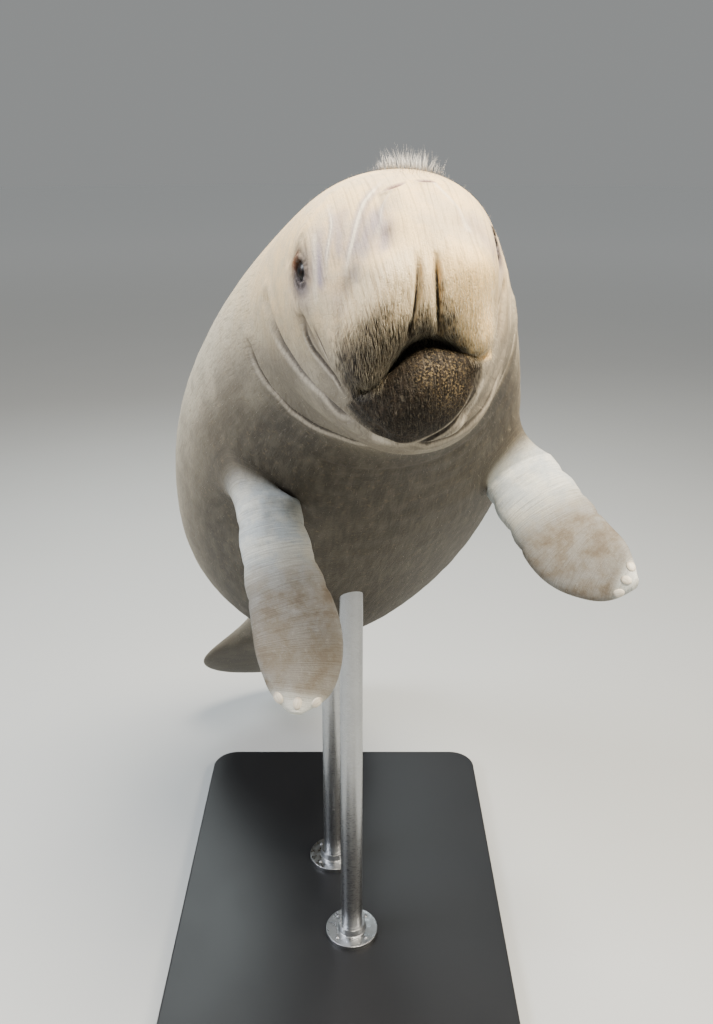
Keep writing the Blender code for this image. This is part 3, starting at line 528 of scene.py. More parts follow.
# wrinkles and rims too fine for the solids: points in the slipped straight frame, radius, height, share of colour
# each line is laid on the skin first
fineMarks = {
    "ridge between the nostrils": ([(-0.012, 0.064, 0.082), (-0.021, 0.054, 0.071), (-0.037, 0.048, 0.057),
                                    (-0.046, 0.042, 0.037), (-0.054, 0.041, 0.019), (-0.061, 0.044, 0.002),
                                    (-0.066, 0.048, -0.011)], 0.0026, 0.0012, 1.00),
    "groove beside the ridge": ([(-0.030, 0.045, 0.060), (-0.039, 0.040, 0.038), (-0.047, 0.038, 0.019)],
                                0.0034, -0.0009, 0.30),
    "ridge on the snout": ([(-0.007, 0.033, 0.063), (-0.018, 0.033, 0.053), (-0.023, 0.025, 0.036),
                            (-0.030, 0.020, 0.022)], 0.0024, 0.0009, 0.80),
    "ridge on the cheek": ([(-0.071, 0.083, 0.071), (-0.069, 0.064, 0.046), (-0.075, 0.063, 0.029),
                            (-0.081, 0.065, 0.014), (-0.085, 0.067, -0.007)], 0.0026, 0.0011, 0.90),
    "ridge before the eye": ([(-0.092, 0.078, 0.040), (-0.094, 0.077, 0.020), (-0.096, 0.080, -0.004),
                              (-0.098, 0.084, -0.028)], 0.0030, 0.0009, 0.70),
    "left ridge on the snout": ([(0.036, 0.036, 0.062), (0.047, 0.030, 0.044), (0.054, 0.028, 0.024),
                                 (0.060, 0.030, 0.004)], 0.0026, 0.0009, 0.80),
    "left ridge on the cheek": ([(0.088, 0.070, 0.052), (0.095, 0.070, 0.028), (0.100, 0.074, 0.0),
                                 (0.103, 0.080, -0.030)], 0.0028, 0.0009, 0.70),
    "wrinkle over the eye": ([(-0.102, 0.093, 0.040), (-0.102, 0.091, 0.029), (-0.101, 0.088, 0.017)],
                             0.0026, -0.0014, 0.55),
    "dimple": ([(-0.019, 0.017, 0.021), (-0.022, 0.016, 0.010)], 0.0055, -0.0026, 0.30),
    "left dimple": ([(0.075, 0.029, 0.013), (0.076, 0.030, 0.006)], 0.0050, -0.0018, 0.25),
    "edge of the right pad": ([(-0.057, 0.038, -0.004), (-0.072, 0.053, -0.024), (-0.081, 0.061, -0.047),
                               (-0.086, 0.064, -0.068), (-0.085, 0.057, -0.095)], 0.0070, -0.0022, 0.12),
    "edge of the left pad": ([(0.044, 0.010, -0.012), (0.064, 0.026, -0.028), (0.078, 0.044, -0.052),
                              (0.082, 0.052, -0.078)], 0.0065, -0.0018, 0.12),
    "fold under the chin": ([(0.052, 0.052, -0.142), (0.040, 0.058, -0.166), (0.022, 0.058, -0.184),
                             (-0.003, 0.066, -0.194), (-0.030, 0.078, -0.195), (-0.056, 0.100, -0.180),
                             (-0.078, 0.110, -0.158)], 0.0034, -0.0028, 0.95),
    "roll under the chin": ([(0.060, 0.060, -0.142), (0.048, 0.070, -0.168), (0.026, 0.074, -0.190),
                             (-0.003, 0.082, -0.200), (-0.034, 0.092, -0.199), (-0.060, 0.110, -0.184)],
                            0.0055, 0.0022, 0.45),
    "first throat crease": ([(0.0, 0.086, -0.200), (0.035, 0.088, -0.194), (0.060, 0.105, -0.181),
                             (0.085, 0.122, -0.155), (0.105, 0.145, -0.125), (0.122, 0.172, -0.096),
                             (0.137, 0.198, -0.062), (0.149, 0.215, -0.028)], 0.0046, -0.0042, 0.90),
    "second throat crease": ([(0.0, 0.170, -0.207), (0.040, 0.180, -0.204), (0.080, 0.222, -0.193),
                              (0.116, 0.262, -0.168), (0.145, 0.290, -0.138), (0.166, 0.305, -0.106),
                              (0.180, 0.313, -0.072), (0.188, 0.316, -0.040)], 0.0050, -0.0044, 0.90),
    "crease behind the right corner": ([(-0.120, 0.114, -0.038), (-0.120, 0.116, -0.045), (-0.114, 0.114, -0.076),
                                        (-0.097, 0.092, -0.112), (-0.084, 0.080, -0.136)], 0.0030, -0.0024, 0.80),
    "crease before it": ([(-0.107, 0.096, -0.044), (-0.106, 0.096, -0.056), (-0.099, 0.090, -0.084),
                          (-0.090, 0.078, -0.108)], 0.0030, -0.0014, 0.45),
    "crease behind the left corner": ([(0.112, 0.099, -0.045), (0.100, 0.080, -0.082), (0.085, 0.070, -0.111),
                                       (0.068, 0.062, -0.138)], 0.0032, -0.0024, 0.70),
    "crease before the arm": ([(-0.179, 0.527, -0.169), (-0.139, 0.552, -0.206), (-0.102, 0.613, -0.233)],
                              0.0060, -0.0035, 0.60),
}
bothSides = ("first throat crease", "second throat crease")
# lines that keep one width whatever the faces: the attribute that holds their distances
drawnLines = {
    "ridge between the nostrils": "longRidge", "ridge on the snout": "snoutRidge", "ridge on the cheek": "cheekRidge",
    "left ridge on the cheek": "leftRidge", "fold under the chin": "chinFold", "first throat crease": "firstFold",
    "second throat crease": "secondFold", "crease behind the right corner": "cornerCrease",
    "crease before it": "innerCrease", "crease behind the left corner": "leftCrease",
}

# the two grooves between the pads, seen from the front: x and z down to the lip, radius, height
grooves = {
    "right": [(0.0040, -0.010), (-0.0010, -0.037), (-0.0050, -0.056), (-0.0100, -0.073), (-0.0150, -0.087)],
    "left": [(0.0225, -0.014), (0.0195, -0.041), (0.0180, -0.059), (0.0170, -0.077), (0.0185, -0.090)],
    "radius": 0.0033, "height": -0.0100, "ridgeRadius": 0.0055, "ridgeHeight": 0.0030,
}


# points every few millimetres along a line, each moved to the nearest point of the skin, then evened out
def laidOn(finder, line, step=0.006, turns=4):
    line = np.array(line, float)
    path = []
    for a, b in zip(line[:-1], line[1:]):
        count = max(1, round(float(np.linalg.norm(b - a)) / step))
        path.extend(a + (b - a) * k / count for k in range(count))
    path = np.array([finder.find(p)[0] for p in path + [line[-1]]])
    for turn in range(turns):
        path[1:-1] += 0.5 * ((path[2:] + path[:-2]) / 2 - path[1:-1])
    return path


# distance to a line on the skin, and the part of it across the line, with a sign that tells the two sides apart
def distanceNear(points, normal, line, reach=0.03):
    chosen = ((points > line.min(0) - reach) & (points < line.max(0) + reach)).all(axis=1)
    near, facingOut = points[chosen], normal[chosen]
    best, side = np.full(len(near), reach), np.full(len(near), reach)
    for a, b in zip(line[:-1], line[1:]):
        part = np.clip(((near - a) @ (b - a)) / ((b - a) @ (b - a)), 0, 1)
        apart = near - a - part[:, None] * (b - a)
        away = np.linalg.norm(apart, axis=1)
        closer = away < best
        best[closer] = away[closer]
        side[closer] = (apart * unit(np.cross(b - a, facingOut))).sum(1)[closer]
    away, signed = np.full(len(points), reach), np.full(len(points), reach)
    away[chosen], signed[chosen] = best, side
    return away, signed


# both distances of each point of the skin to each fine line
def fineDistances(points, normal):
    finder = KDTree(len(points))
    for k, p in enumerate(points):
        finder.insert(p, k)
    finder.balance()
    found = {}
    for name, (line, radius, height, share) in fineMarks.items():
        away, signed = distanceNear(points, normal, laidOn(finder, line))
        if name in bothSides:
            # the mirrored line runs the other way, so its sides are swapped
            other, otherSigned = distanceNear(points, normal, laidOn(finder, np.array(line) * [-1, 1, 1]))
            signed = np.where(other < away, -otherSigned, signed)
            away = np.minimum(away, other)
        ends = [line[-1]] if name in bothSides else [line[0], line[-1]]
        ends = np.array(ends, float)
        toEnd = np.min([np.linalg.norm((leftHalf(points) if name in bothSides else points) - end, axis=1)
                        for end in ends], axis=0)
        found[name] = (away, signed, ease(0.002, 0.030, toEnd))
    return found


# distance to one groove between the pads, as seen from the front
def grooveDistance(points, side):
    line = [(x, 0.0, z) for x, z in grooves[side]]
    away = distanceToLine(points * [1, 0, 1], line)
    return away + 9 * ease(0.040, 0.060, points[:, 1])


def grooveHeight(points):
    right, left = grooveDistance(points, "right"), grooveDistance(points, "left")
    dip = np.exp(-(right / grooves["radius"]) ** 2) + np.exp(-(left / grooves["radius"]) ** 2)
    # the ridge stands where the distances to both grooves are alike and small
    beyond = np.maximum((right + left) / 2 - 0.010, 0)
    ridge = np.exp(-(beyond / 0.002) ** 2 - ((right - left) / 2 / grooves["ridgeRadius"]) ** 2)
    begin = ease(-0.004, -0.034, points[:, 2])
    return (grooves["height"] * dip + grooves["ridgeHeight"] * ridge) * begin


# shallow wandering furrows across the throat, neck and sides, as soft skin has them
def furrows(rest):
    x, s, z = rest.T
    around = np.arctan2(z + 0.03, x)
    drift = 0.012 * np.sin(3.1 * around + 9 * s) + 0.008 * np.sin(7.3 * around + 21 * s + 1.3)
    fine = np.sin((s + drift) * 2 * math.pi / 0.021)
    wide = np.sin((s - drift * 1.6) * 2 * math.pi / 0.058 + 0.7)
    patchy = 0.5 + 0.5 * np.sin(5 * around + 14 * s) * np.sin(3 * around - 8 * s + 2.0)
    neck = ease(0.36, 0.46, s) * (1 - ease(0.62, 0.90, s))
    below = ease(0.06, -0.10, z)
    height = 0.0003 * neck * fine * patchy * (0.35 + 0.65 * below)
    height += 0.0006 * neck * wide * (0.35 + 0.65 * below)
    height += 0.0006 * ease(0.8, 1.0, s) * (1 - ease(1.55, 1.7, s)) * wide * patchy
    return height


def eyeFrame(side, skinTree):
    low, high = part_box("eye_" + side)
    centre = (low + high) / 2
    sign = 1 if side == "left" else -1
    look = spineTurn[10] @ (unit(eyes["look"]) * [sign, 1, 1])
    outwards = np.array(skinTree.ray_cast(centre, Vector(look))[1])
    out = spineTurn[10].T @ (outwards * np.sign(outwards @ look))
    axes = facing(out * [sign, 1, 1], eyes["lean"]) * [sign, 1, 1]
    return np.array(centre), axes @ spineTurn[10].T


# opening, folded lids and radial wrinkles of one eye
def shapeLids(points, centre, axes):
    local = (points - centre) @ axes.T
    a, b, c = local.T
    near = (np.linalg.norm(local[:, :2], axis=1) < eyes["spread"] * 1.3) & (c > -0.004)
    r = np.hypot(a / eyes["openShort"], b / eyes["openLong"])
    turn = np.arctan2(b / eyes["openLong"], a / eyes["openShort"])
    flat = np.hypot(a, b)
    ball = np.sqrt(np.maximum(eyes["radius"] ** 2 - flat ** 2, 0))
    inside = 1 - ease(0.82, 1.04, r)
    # the margin hugs the ball, the lid rolls over it, and folds fade outwards
    behind = 0.30 + 0.70 * ease(-0.3, 0.8, 0.5 * np.sin(turn) - np.cos(turn))
    lift = 0.0013 * np.exp(-((r - 1.25) / 0.26) ** 2)
    lift -= 0.0010 * behind * np.exp(-((r - 1.64) / 0.15) ** 2)
    lift += 0.0008 * behind * np.exp(-((r - 1.95) / 0.20) ** 2)
    lift -= 0.0006 * behind * np.exp(-((r - 2.35) / 0.20) ** 2)
    lift += 0.00022 * np.sin(17 * turn + 2 * np.sin(3 * turn)) * np.exp(-((r - 1.55) / 0.42) ** 2)
    lift += 0.0013 * ease(0.2, 0.9, np.sin(turn)) * np.exp(-((r - 1.30) / 0.28) ** 2)
    margin = np.maximum(c, ball + 0.0004)
    toBall = 1 - ease(1.02, 1.35, r)
    outer = c * (1 - toBall) + margin * toBall + lift * (1 - inside)
    target = outer * (1 - inside) + (ball - 0.0035) * inside
    moved = np.array(points)
    change = np.where(near, target - c, 0)
    # darkening round the opening, partly dark skin and partly painted shade
    dark = np.exp(-(np.maximum(r - 1, 0) / (1.05 + 0.60 * behind)) ** 2)
    return moved + change[:, None] * axes[2], np.where(near, dark, 0), inside * near


# slits of the nostrils with their soft rims
def shapeNostril(points, centre, axes):
    local = (points - centre) @ axes.T
    a, b, c = local.T
    near = np.linalg.norm(local, axis=1) < nostrils["spread"] * 1.4
    bend = b - 0.30 * a ** 2 / nostrils["long"]
    r = np.hypot(a / nostrils["long"], bend / nostrils["short"])
    push = -nostrils["depth"] * np.exp(-(r / 0.80) ** 4)
    rim = 0.0013 * np.exp(-((r - 1.75) / 0.55) ** 2)
    change = np.where(near, push + rim, 0)
    return points + change[:, None] * axes[2], np.where(near, np.exp(-(r / 1.45) ** 4), 0)


def makeSkin():
    data, loops, soft = bodyMesh()
    eyeSpots = [(sign * 0.1125, 0.1015, 0.0095) for sign in (1, -1)]
    noseSpots = [(sign * nostrils["at"][0], *nostrils["at"][1:]) for sign in (1, -1)]
    count = len(data.vertices)
    refine(data, eyeSpots, eyes["spread"], eyes["cuts"])
    refine(data, noseSpots, nostrils["spread"], nostrils["cuts"])
    straight = coordinates(data)
    place = readAttribute(data, "place")
    # points of the finer faces take their ring count from where they lie, all far behind the mouth
    place[count:] = 20.0
    normal = vertexNormals(data)
    facingOut = np.sign((normal * (straight - [0, 0.5, -0.03])).sum(1).mean())
    normal *= facingOut
    clear = 1 - np.exp(-(distanceToLine(leftHalf(straight), mouth["line"]) / mouth["clear"]) ** 2)
    clear *= ease(1.0, 4.5, place)
    height = markHeight(straight, skinMarks) * clear
    rest = slipped(straight + normal * height[:, None])
    fineAway = fineDistances(rest, normal)
    fine = furrows(rest) + grooveHeight(rest) * clear
    for name, (line, radius, lift, share) in fineMarks.items():
        fine += lift * np.exp(-(fineAway[name][0] / radius) ** 2) * clear * fineAway[name][2]
    # the coat's depth, most on the bristly pads
    coat = 0.0004 + 0.0006 * (1 - ease(0.05, 0.12, rest[:, 1]))
    rest = rest + normal * (fine - coat)[:, None]
    points = posed(rest)
    setCoordinates(data, points)
    tree = BVHTree.FromPolygons([Vector(p) for p in points], [p.vertices[:] for p in data.polygons])
    frames = {side: eyeFrame(side, tree) for side in ("left", "right")}
    lids, holes, slits = np.zeros(len(points)), np.zeros(len(points)), np.zeros(len(points))
    for side in frames:
        points, lid, hole = shapeLids(points, *frames[side])
        lids, holes = np.maximum(lids, lid), np.maximum(holes, hole)
    for sign in (1, -1):
        at = slipped(np.array(nostrils["at"]) * [sign, 1, 1])
        axes = facing(nostrils["look"], nostrils["lean"]) * [sign, 1, 1]
        points, slit = shapeNostril(points, posed(at), axes @ turnAt(0).T)
        slits = np.maximum(slits, slit)

    # sleeves and flippers
    maker = Maker()
    maker.points = list(points)
    corner = np.zeros(len(data.loops) * 2, np.float32)
    data.uv_layers["OFBake"].data.foreach_get("uv", corner)
    maker.faces = [tuple(p.vertices) for p in data.polygons]
    maker.corners = [tuple(uv) for uv in corner.reshape(-1, 2)]
    restAll, along = list(rest), [0.0] * len(points)
    for side, (loop, beyond) in loops.items():
        hole, outer = points[loop], points[beyond]
        fins, away = flipperRings(side, len(loop), shoulder["finRings"])
        sleeve, way, shift = sleeveRings(hole, unit(hole - outer), fins[0], away[0], shoulder["rings"])
        # creases round the wrist, a little aslant
        wave = np.cos(np.arange(len(loop)) / len(loop) * 2 * math.pi)
        for k in range(len(fins)):
            reach = k / len(fins) + 0.02 * wave
            pinch = sum(deep * np.exp(-((reach - at) / wide) ** 2) for at, wide, deep in wristCreases)
            middle = fins[k].mean(0)
            fins[k] = middle + (fins[k] - middle) * (1 + pinch)[:, None]
        turnedFins = [np.roll(ring[::way], shift, axis=0) for ring in fins]
        v0 = 0.02 if side == "right" else 0.52
        count = len(sleeve) + len(turnedFins)
        previous = loop
        for k, ring in enumerate(sleeve + turnedFins):
            current = maker.add(ring)
            maker.strip(previous, current, (0.82, 0.98), (v0 + 0.44 * k / count, v0 + 0.44 * (k + 1) / count))
            share = min(1.0, (k + 1) / (len(sleeve) + 1))
            there = straightened(ring)
            restAll.extend(rest[loop] * (1 - share) + there * share)
            reach = max(0, k + 1 - len(sleeve)) / len(turnedFins)
            along.extend([0.35 * share + 0.65 * reach] * len(ring))
            if k < len(sleeve):
                soft.update(current)
            previous = current
        maker.cap(previous, (0.82, 0.98), v0 + 0.45)
        restAll.append(np.mean(restAll[-len(previous):], axis=0))
        along.append(1.0)
        soft.update(loop)
    data = maker.mesh("skin")
    extra = len(maker.points) - len(points)
    points = soften(data, np.array(maker.points), soft, shoulder["smoothing"])
    setCoordinates(data, points)
    keepAttribute(data, "rest", np.array(restAll))
    keepAttribute(data, "arm", np.array(along))
    # pale lines are partly the ridges' own pale and partly painted highlight; crease lines are painted shade
    lines = {"paleLineAndHighlight": np.zeros(len(rest)), "paintedCreaseShade": np.zeros(len(rest))}
    for name, (line, radius, lift, share) in fineMarks.items():
        kind = "paleLineAndHighlight" if lift > 0 else "paintedCreaseShade"
        away, signed, taper = fineAway[name]
        if name in drawnLines:
            lines[drawnLines[name]] = np.stack([signed, away, taper], axis=1)
            share *= 0.45
        lines[kind] = np.maximum(lines[kind], share * np.exp(-(away / radius) ** 2))
    # how far to the side of each groove, so that the dark line keeps one width whatever the faces
    for side in ("right", "left"):
        acrossX, downZ = np.array(grooves[side]).T
        lines[side + "Groove"] = rest[:, 0] - np.interp(-rest[:, 2], -downZ, acrossX)
    groove = np.minimum(grooveDistance(rest, "right"), grooveDistance(rest, "left"))
    lines["grooveBand"] = np.exp(-(groove / 0.0055) ** 4) * ease(-0.008, -0.040, rest[:, 2]) * clear
    lines.update({"lid": lids, "socket": holes, "slit": slits, "fold": fine + height})
    for name, values in lines.items():
        beyond = np.full((extra, 3), 0.03) if values.ndim == 2 else np.zeros(extra)
        keepAttribute(data, name, np.concatenate([values, beyond]))
    inMouth = np.concatenate([1 - ease(1.5, 4.2, place), np.zeros(extra)])
    keepAttribute(data, "inMouth", inMouth)
    # one closed surface, facing outwards
    bm = bmesh.new()
    bm.from_mesh(data)
    bmesh.ops.delete(bm, geom=[v for v in bm.verts if not v.link_faces], context="VERTS")
    bmesh.ops.recalc_face_normals(bm, faces=bm.faces)
    print("skin: open edges", sum(1 for e in bm.edges if not e.is_manifold))
    bm.to_mesh(data)
    bm.free()
    data.shade_smooth()
    return data, frames


# dark skin, with painted shade under the pad lobes and the chin, and speckles seen from the front: x and z of the
# middle, the radius, how dark
darkPadsAndShade = [(-0.041, -0.066, 0.014, 0.7), (-0.052, -0.082, 0.022, 0.9), (-0.063, -0.100, 0.028, 1.0),
             (-0.070, -0.122, 0.030, 1.0), (-0.052, -0.116, 0.036, 1.0), (-0.036, -0.100, 0.028, 1.0),
             (-0.018, -0.090, 0.018, 1.0), (-0.080, -0.138, 0.028, 1.0), (0.001, -0.070, 0.009, 0.7),
             (0.000, -0.084, 0.013, 0.95), (0.002, -0.094, 0.018, 1.0), (0.0235, -0.046, 0.006, 0.45),
             (0.0240, -0.062, 0.007, 0.65), (0.0250, -0.079, 0.010, 0.85), (0.029, -0.096, 0.011, 0.9),
             (0.040, -0.109, 0.009, 0.85), (0.053, -0.120, 0.008, 0.8)]
darkChinAndShade = [(-0.002, -0.132, 0.046, 1), (-0.036, -0.140, 0.040, 1), (-0.066, -0.142, 0.032, 1),
             (0.030, -0.128, 0.030, 1), (-0.004, -0.166, 0.034, 1), (-0.036, -0.172, 0.028, 1),
             (0.022, -0.150, 0.030, 1)]
speckledChin = [(0.016, -0.126, 0.022, 1), (0.022, -0.144, 0.020, 1), (0.002, -0.130, 0.014, 1)]


# soft patches, full in the middle and gone at twice the radius
def blobs(x, z, spots):
    total = np.zeros(len(x))
    for atX, atZ, radius, share in spots:
        total = np.maximum(total, share * (1 - ease(0.10 * radius, 2.0 * radius, np.hypot(x - atX, z - atZ))))
    return total


# where each marking of the hide lies, from 0 to 1 at each point of the skin
def addMarkings(data):
    rest = readAttribute(data, "rest")
    arm = readAttribute(data, "arm")
    inMouth = readAttribute(data, "inMouth")
    x, s, z = rest.T
    body = arm < 0.001
    trunk = 1 - ease(0.05, 0.34, arm)
    # the snout's own sideways slip is taken out again, so that both sides are marked alike
    side = np.abs(x - 0.008 * (1 - ease(0.03, 0.10, s)))
    front = 1 - ease(0.055, 0.095, s)
    overMouth = z - pose["mouthTilt"] * x - mouthHeight(np.clip(x, -0.05, 0.05))
    above = ease(-0.006, 0.002, overMouth)
    # the pads fade out upwards and outwards
    pads = front * ease(0.016, -0.030, z + 0.25 * np.maximum(side - 0.02, 0)) * (1 - ease(0.070, 0.094, side))
    chin = (1 - ease(0.075, 0.115, s)) * (1 - above) * ease(0.25, 0.75, blobs(x, z, darkChinAndShade))
    # dark skin of the pads, chin and mouth, with painted shade under the lobes, round the chin and inside the mouth
    darkAndShade = blobs(x, z, darkPadsAndShade) * front * above + chin
    below = ease(-0.03, -0.15, z)
    marks = {
        "cream": (1 - ease(0.18, 0.50, s)) * ease(-0.12, 0.03, z + 0.25 * (0.10 - np.minimum(s, 0.3))),
        "pads": pads * above,
        # painted warm light on the lit left side of the pads
        "litSideWarmth": ease(-0.02, 0.05, x) * (1 - ease(0.06, 0.12, s)) * ease(0.06, -0.01, z) * above,
        "chinSkin": chin,
        "speckled": blobs(x, z, speckledChin) * front * (1 - above),
        "darkSkinAndShade": np.maximum(darkAndShade, inMouth) * body,
        "padLength": ease(0.010, -0.085, z) * above,
        "eyePatch": np.exp(-(distanceToLine(rest, [(-0.119, 0.116, 0.022), (-0.114, 0.108, 0.027)]) / 0.0085) ** 2),
        # painted lavender shade in the eye hollows, the dimples, beside the ridges and along the pad's edge
        "hollow": np.exp(-(distanceToLine(leftHalf(rest), [(0.112, 0.100, 0.002)]) / 0.028) ** 2)
        + 0.9 * np.exp(-(distanceToLine(rest, [(-0.030, 0.030, 0.040), (-0.044, 0.032, 0.012)]) / 0.014) ** 2)
        + 0.9 * np.exp(-(distanceToLine(rest, [(-0.018, 0.020, 0.026), (-0.024, 0.018, 0.004)]) / 0.009) ** 2)
        + 0.8 * np.exp(-(distanceToLine(rest, [(-0.062, 0.060, 0.052), (-0.066, 0.056, 0.016)]) / 0.011) ** 2)
        + 0.8 * np.exp(-(distanceToLine(rest, [(-0.088, 0.070, 0.040), (-0.090, 0.074, -0.010)]) / 0.010) ** 2)
        + 0.7 * np.exp(-(distanceToLine(rest, [(-0.060, 0.042, -0.018), (-0.070, 0.052, -0.036)]) / 0.016) ** 2)
        + 0.6 * np.exp(-(distanceToLine(rest, [(0.068, 0.030, 0.012), (0.080, 0.040, -0.010)]) / 0.018) ** 2),
        # painted shade below the right eye, down past the mouth corner to under the chin
        "cheekShade": np.exp(-(distanceToLine(rest, [
            (-0.116, 0.112, -0.040), (-0.104, 0.098, -0.090), (-0.086, 0.084, -0.135), (-0.062, 0.082, -0.168),
            (-0.030, 0.072, -0.188)]) / 0.021) ** 2),
        # darker underside and tail, and a paler back: partly the hide's own tone, partly painted shade underneath and
        # painted light from above
        "belly": np.maximum(below, 0.8 * ease(1.35, 1.65, s) * ease(0.03, -0.01, z)) * ease(0.10, 0.34, s) * trunk,
        "back": ease(-0.09, 0.06, z) * ease(0.12, 0.34, s) * (1 - 0.5 * ease(1.3, 1.7, s)) * trunk,
        "flipperSkin": np.where(body, 0, ease(0.10, 0.36, arm)),
        "flipperOuter": ease(0.44, 0.62, arm) * (1 - ease(0.90, 0.985, arm)),
        "flipperTip": ease(0.88, 0.985, arm),
        "wrist": np.exp(-((arm - 0.46) / 0.07) ** 2),
    }
    for name, values in marks.items():
        keepAttribute(data, name, np.clip(values, 0, 1))
    # a coordinate across the wrinkles: x on the face, round the body behind it, along the fin on a flipper
    girth = 0.20 * np.abs(np.arctan2(x, -(z + 0.03)))
    behind = ease(0.10, 0.30, s)
    across = np.where(body, x * (1 - behind) + girth * behind, 0.9 * arm)
    along = np.where(body, s - z * (1 - behind), girth)
    keepAttribute(data, "wrinkleWay", np.stack([across, along, 0 * along], axis=1))


# the way bristles and hairs lie: down the face, and back along the body
def addLie(data):
    rest, points, normal = readAttribute(data, "rest"), coordinates(data), vertexNormals(data)
    arm = readAttribute(data, "arm")
    k = np.clip(((rest[:, 1] - spineS[0]) / spineStep).astype(int), 0, len(spineS) - 1)
    back, down = spineTurn[k, :, 1], -spineTurn[k, :, 2]
    for side in flippers:
        face, stations = flippers[side]
        way = unit(np.array(stations[-1][:3]) - np.array(stations[0][:3]))
        near = np.linalg.norm(points - np.array(stations[3][:3]), axis=1) < 0.30
        back = np.where(((arm > 0.05) & near)[:, None], way, back)
    face = (1 - ease(0.03, 0.09, rest[:, 1]))[:, None]
    way = back * (1 - face) + down * face
    way = unit(way - normal * (way * normal).sum(1, keepdims=True))
    keepAttribute(data, "lie", way)
    keepAttribute(data, "outwards", normal)


skinData, eyeFrames = makeSkin()
addMarkings(skinData)
addLie(skinData)
print("skin made:", len(skinData.vertices), "points,", sum(len(p.vertices) - 2 for p in skinData.polygons), "triangles")


def linear(code):
    parts = [int(code[k:k + 2], 16) / 255 for k in (1, 3, 5)]
    return tuple(p / 12.92 if p <= 0.04045 else ((p + 0.055) / 1.055) ** 2.4 for p in parts) + (1.0,)


# add a node with its settings, and give its inputs values or links
def addNode(tree, kind, inputs=None, **settings):
    node = tree.nodes.new(kind)
    for key, value in settings.items():
        setattr(node, key, value)
    for key, value in (inputs or {}).items():
        socket = node.inputs[key]
        if isinstance(value, bpy.types.NodeSocket):
            tree.links.new(value, socket)
        else:
            socket.default_value = value
    return node


def newMaterial(name, **values):
    material = bpy.data.materials.new(name)
    material.use_nodes = True
    tree = material.node_tree
    shader = tree.nodes["Principled BSDF"]
    for key, value in values.items():
        shader.inputs[key].default_value = value
    return material, tree, shader


def maths(tree, operation, a, b=0.0, c=0.0, clamp=False):
    return addNode(tree, "ShaderNodeMath", {0: a, 1: b, 2: c}, operation=operation, use_clamp=clamp).outputs[0]


def mixed(tree, share, a, b, way="MIX"):
    return addNode(tree, "ShaderNodeMix", {0: share, 6: a, 7: b}, data_type="RGBA", blend_type=way).outputs[2]


def between(tree, value, low, high, toLow=0.0, toHigh=1.0):
    inputs = {0: value, 1: low, 2: high, 3: toLow, 4: toHigh}
    return addNode(tree, "ShaderNodeMapRange", inputs, interpolation_type="SMOOTHSTEP").outputs[0]


def noise(tree, where, mm, detail=3.0, rough=0.55):
    inputs = {"Vector": where, "Scale": 1000.0 / mm, "Detail": detail, "Roughness": rough}
    return addNode(tree, "ShaderNodeTexNoise", inputs).outputs[0]


def attribute(tree, name, output="Fac"):
    return addNode(tree, "ShaderNodeAttribute", attribute_name=name).outputs[output]


def bump(tree, height, metres, strength=1.0, under=None):
    inputs = {"Height": height, "Distance": metres, "Strength": strength}
    if under is not None:
        inputs["Normal"] = under
    return addNode(tree, "ShaderNodeBump", inputs).outputs[0]


hide = {
    "cream": "#fcdca4", "creamShade": "#e6cfa6", "grey": "#a09783", "greyDark": "#776f60", "back": "#cfc6ae",
    "lavender": "#938b9b", "belly": "#2b2821", "pads": "#d4bc92",
    "padsPale": "#f0dcb4", "padsLitWarmth": "#ffd78c", "dark": "#0a0805",
    "darkWarm": "#20180f", "speckle": "#857352", "flipper": "#bac2c4", "flipperBrown": "#6a6154",
    "flipperPale": "#d6d8d0", "wrinkle": "#574d41", "crease": "#231e18", "paleLineAndHighlight": "#fff1d6", "lid": "#1d1511",
    "eyePatch": "#85502a", "slit": "#8c757a",
    "grainMm": 1.5, "netMm": 7.0, "folliclesMm": 3.0, "roughness": 0.56,
}


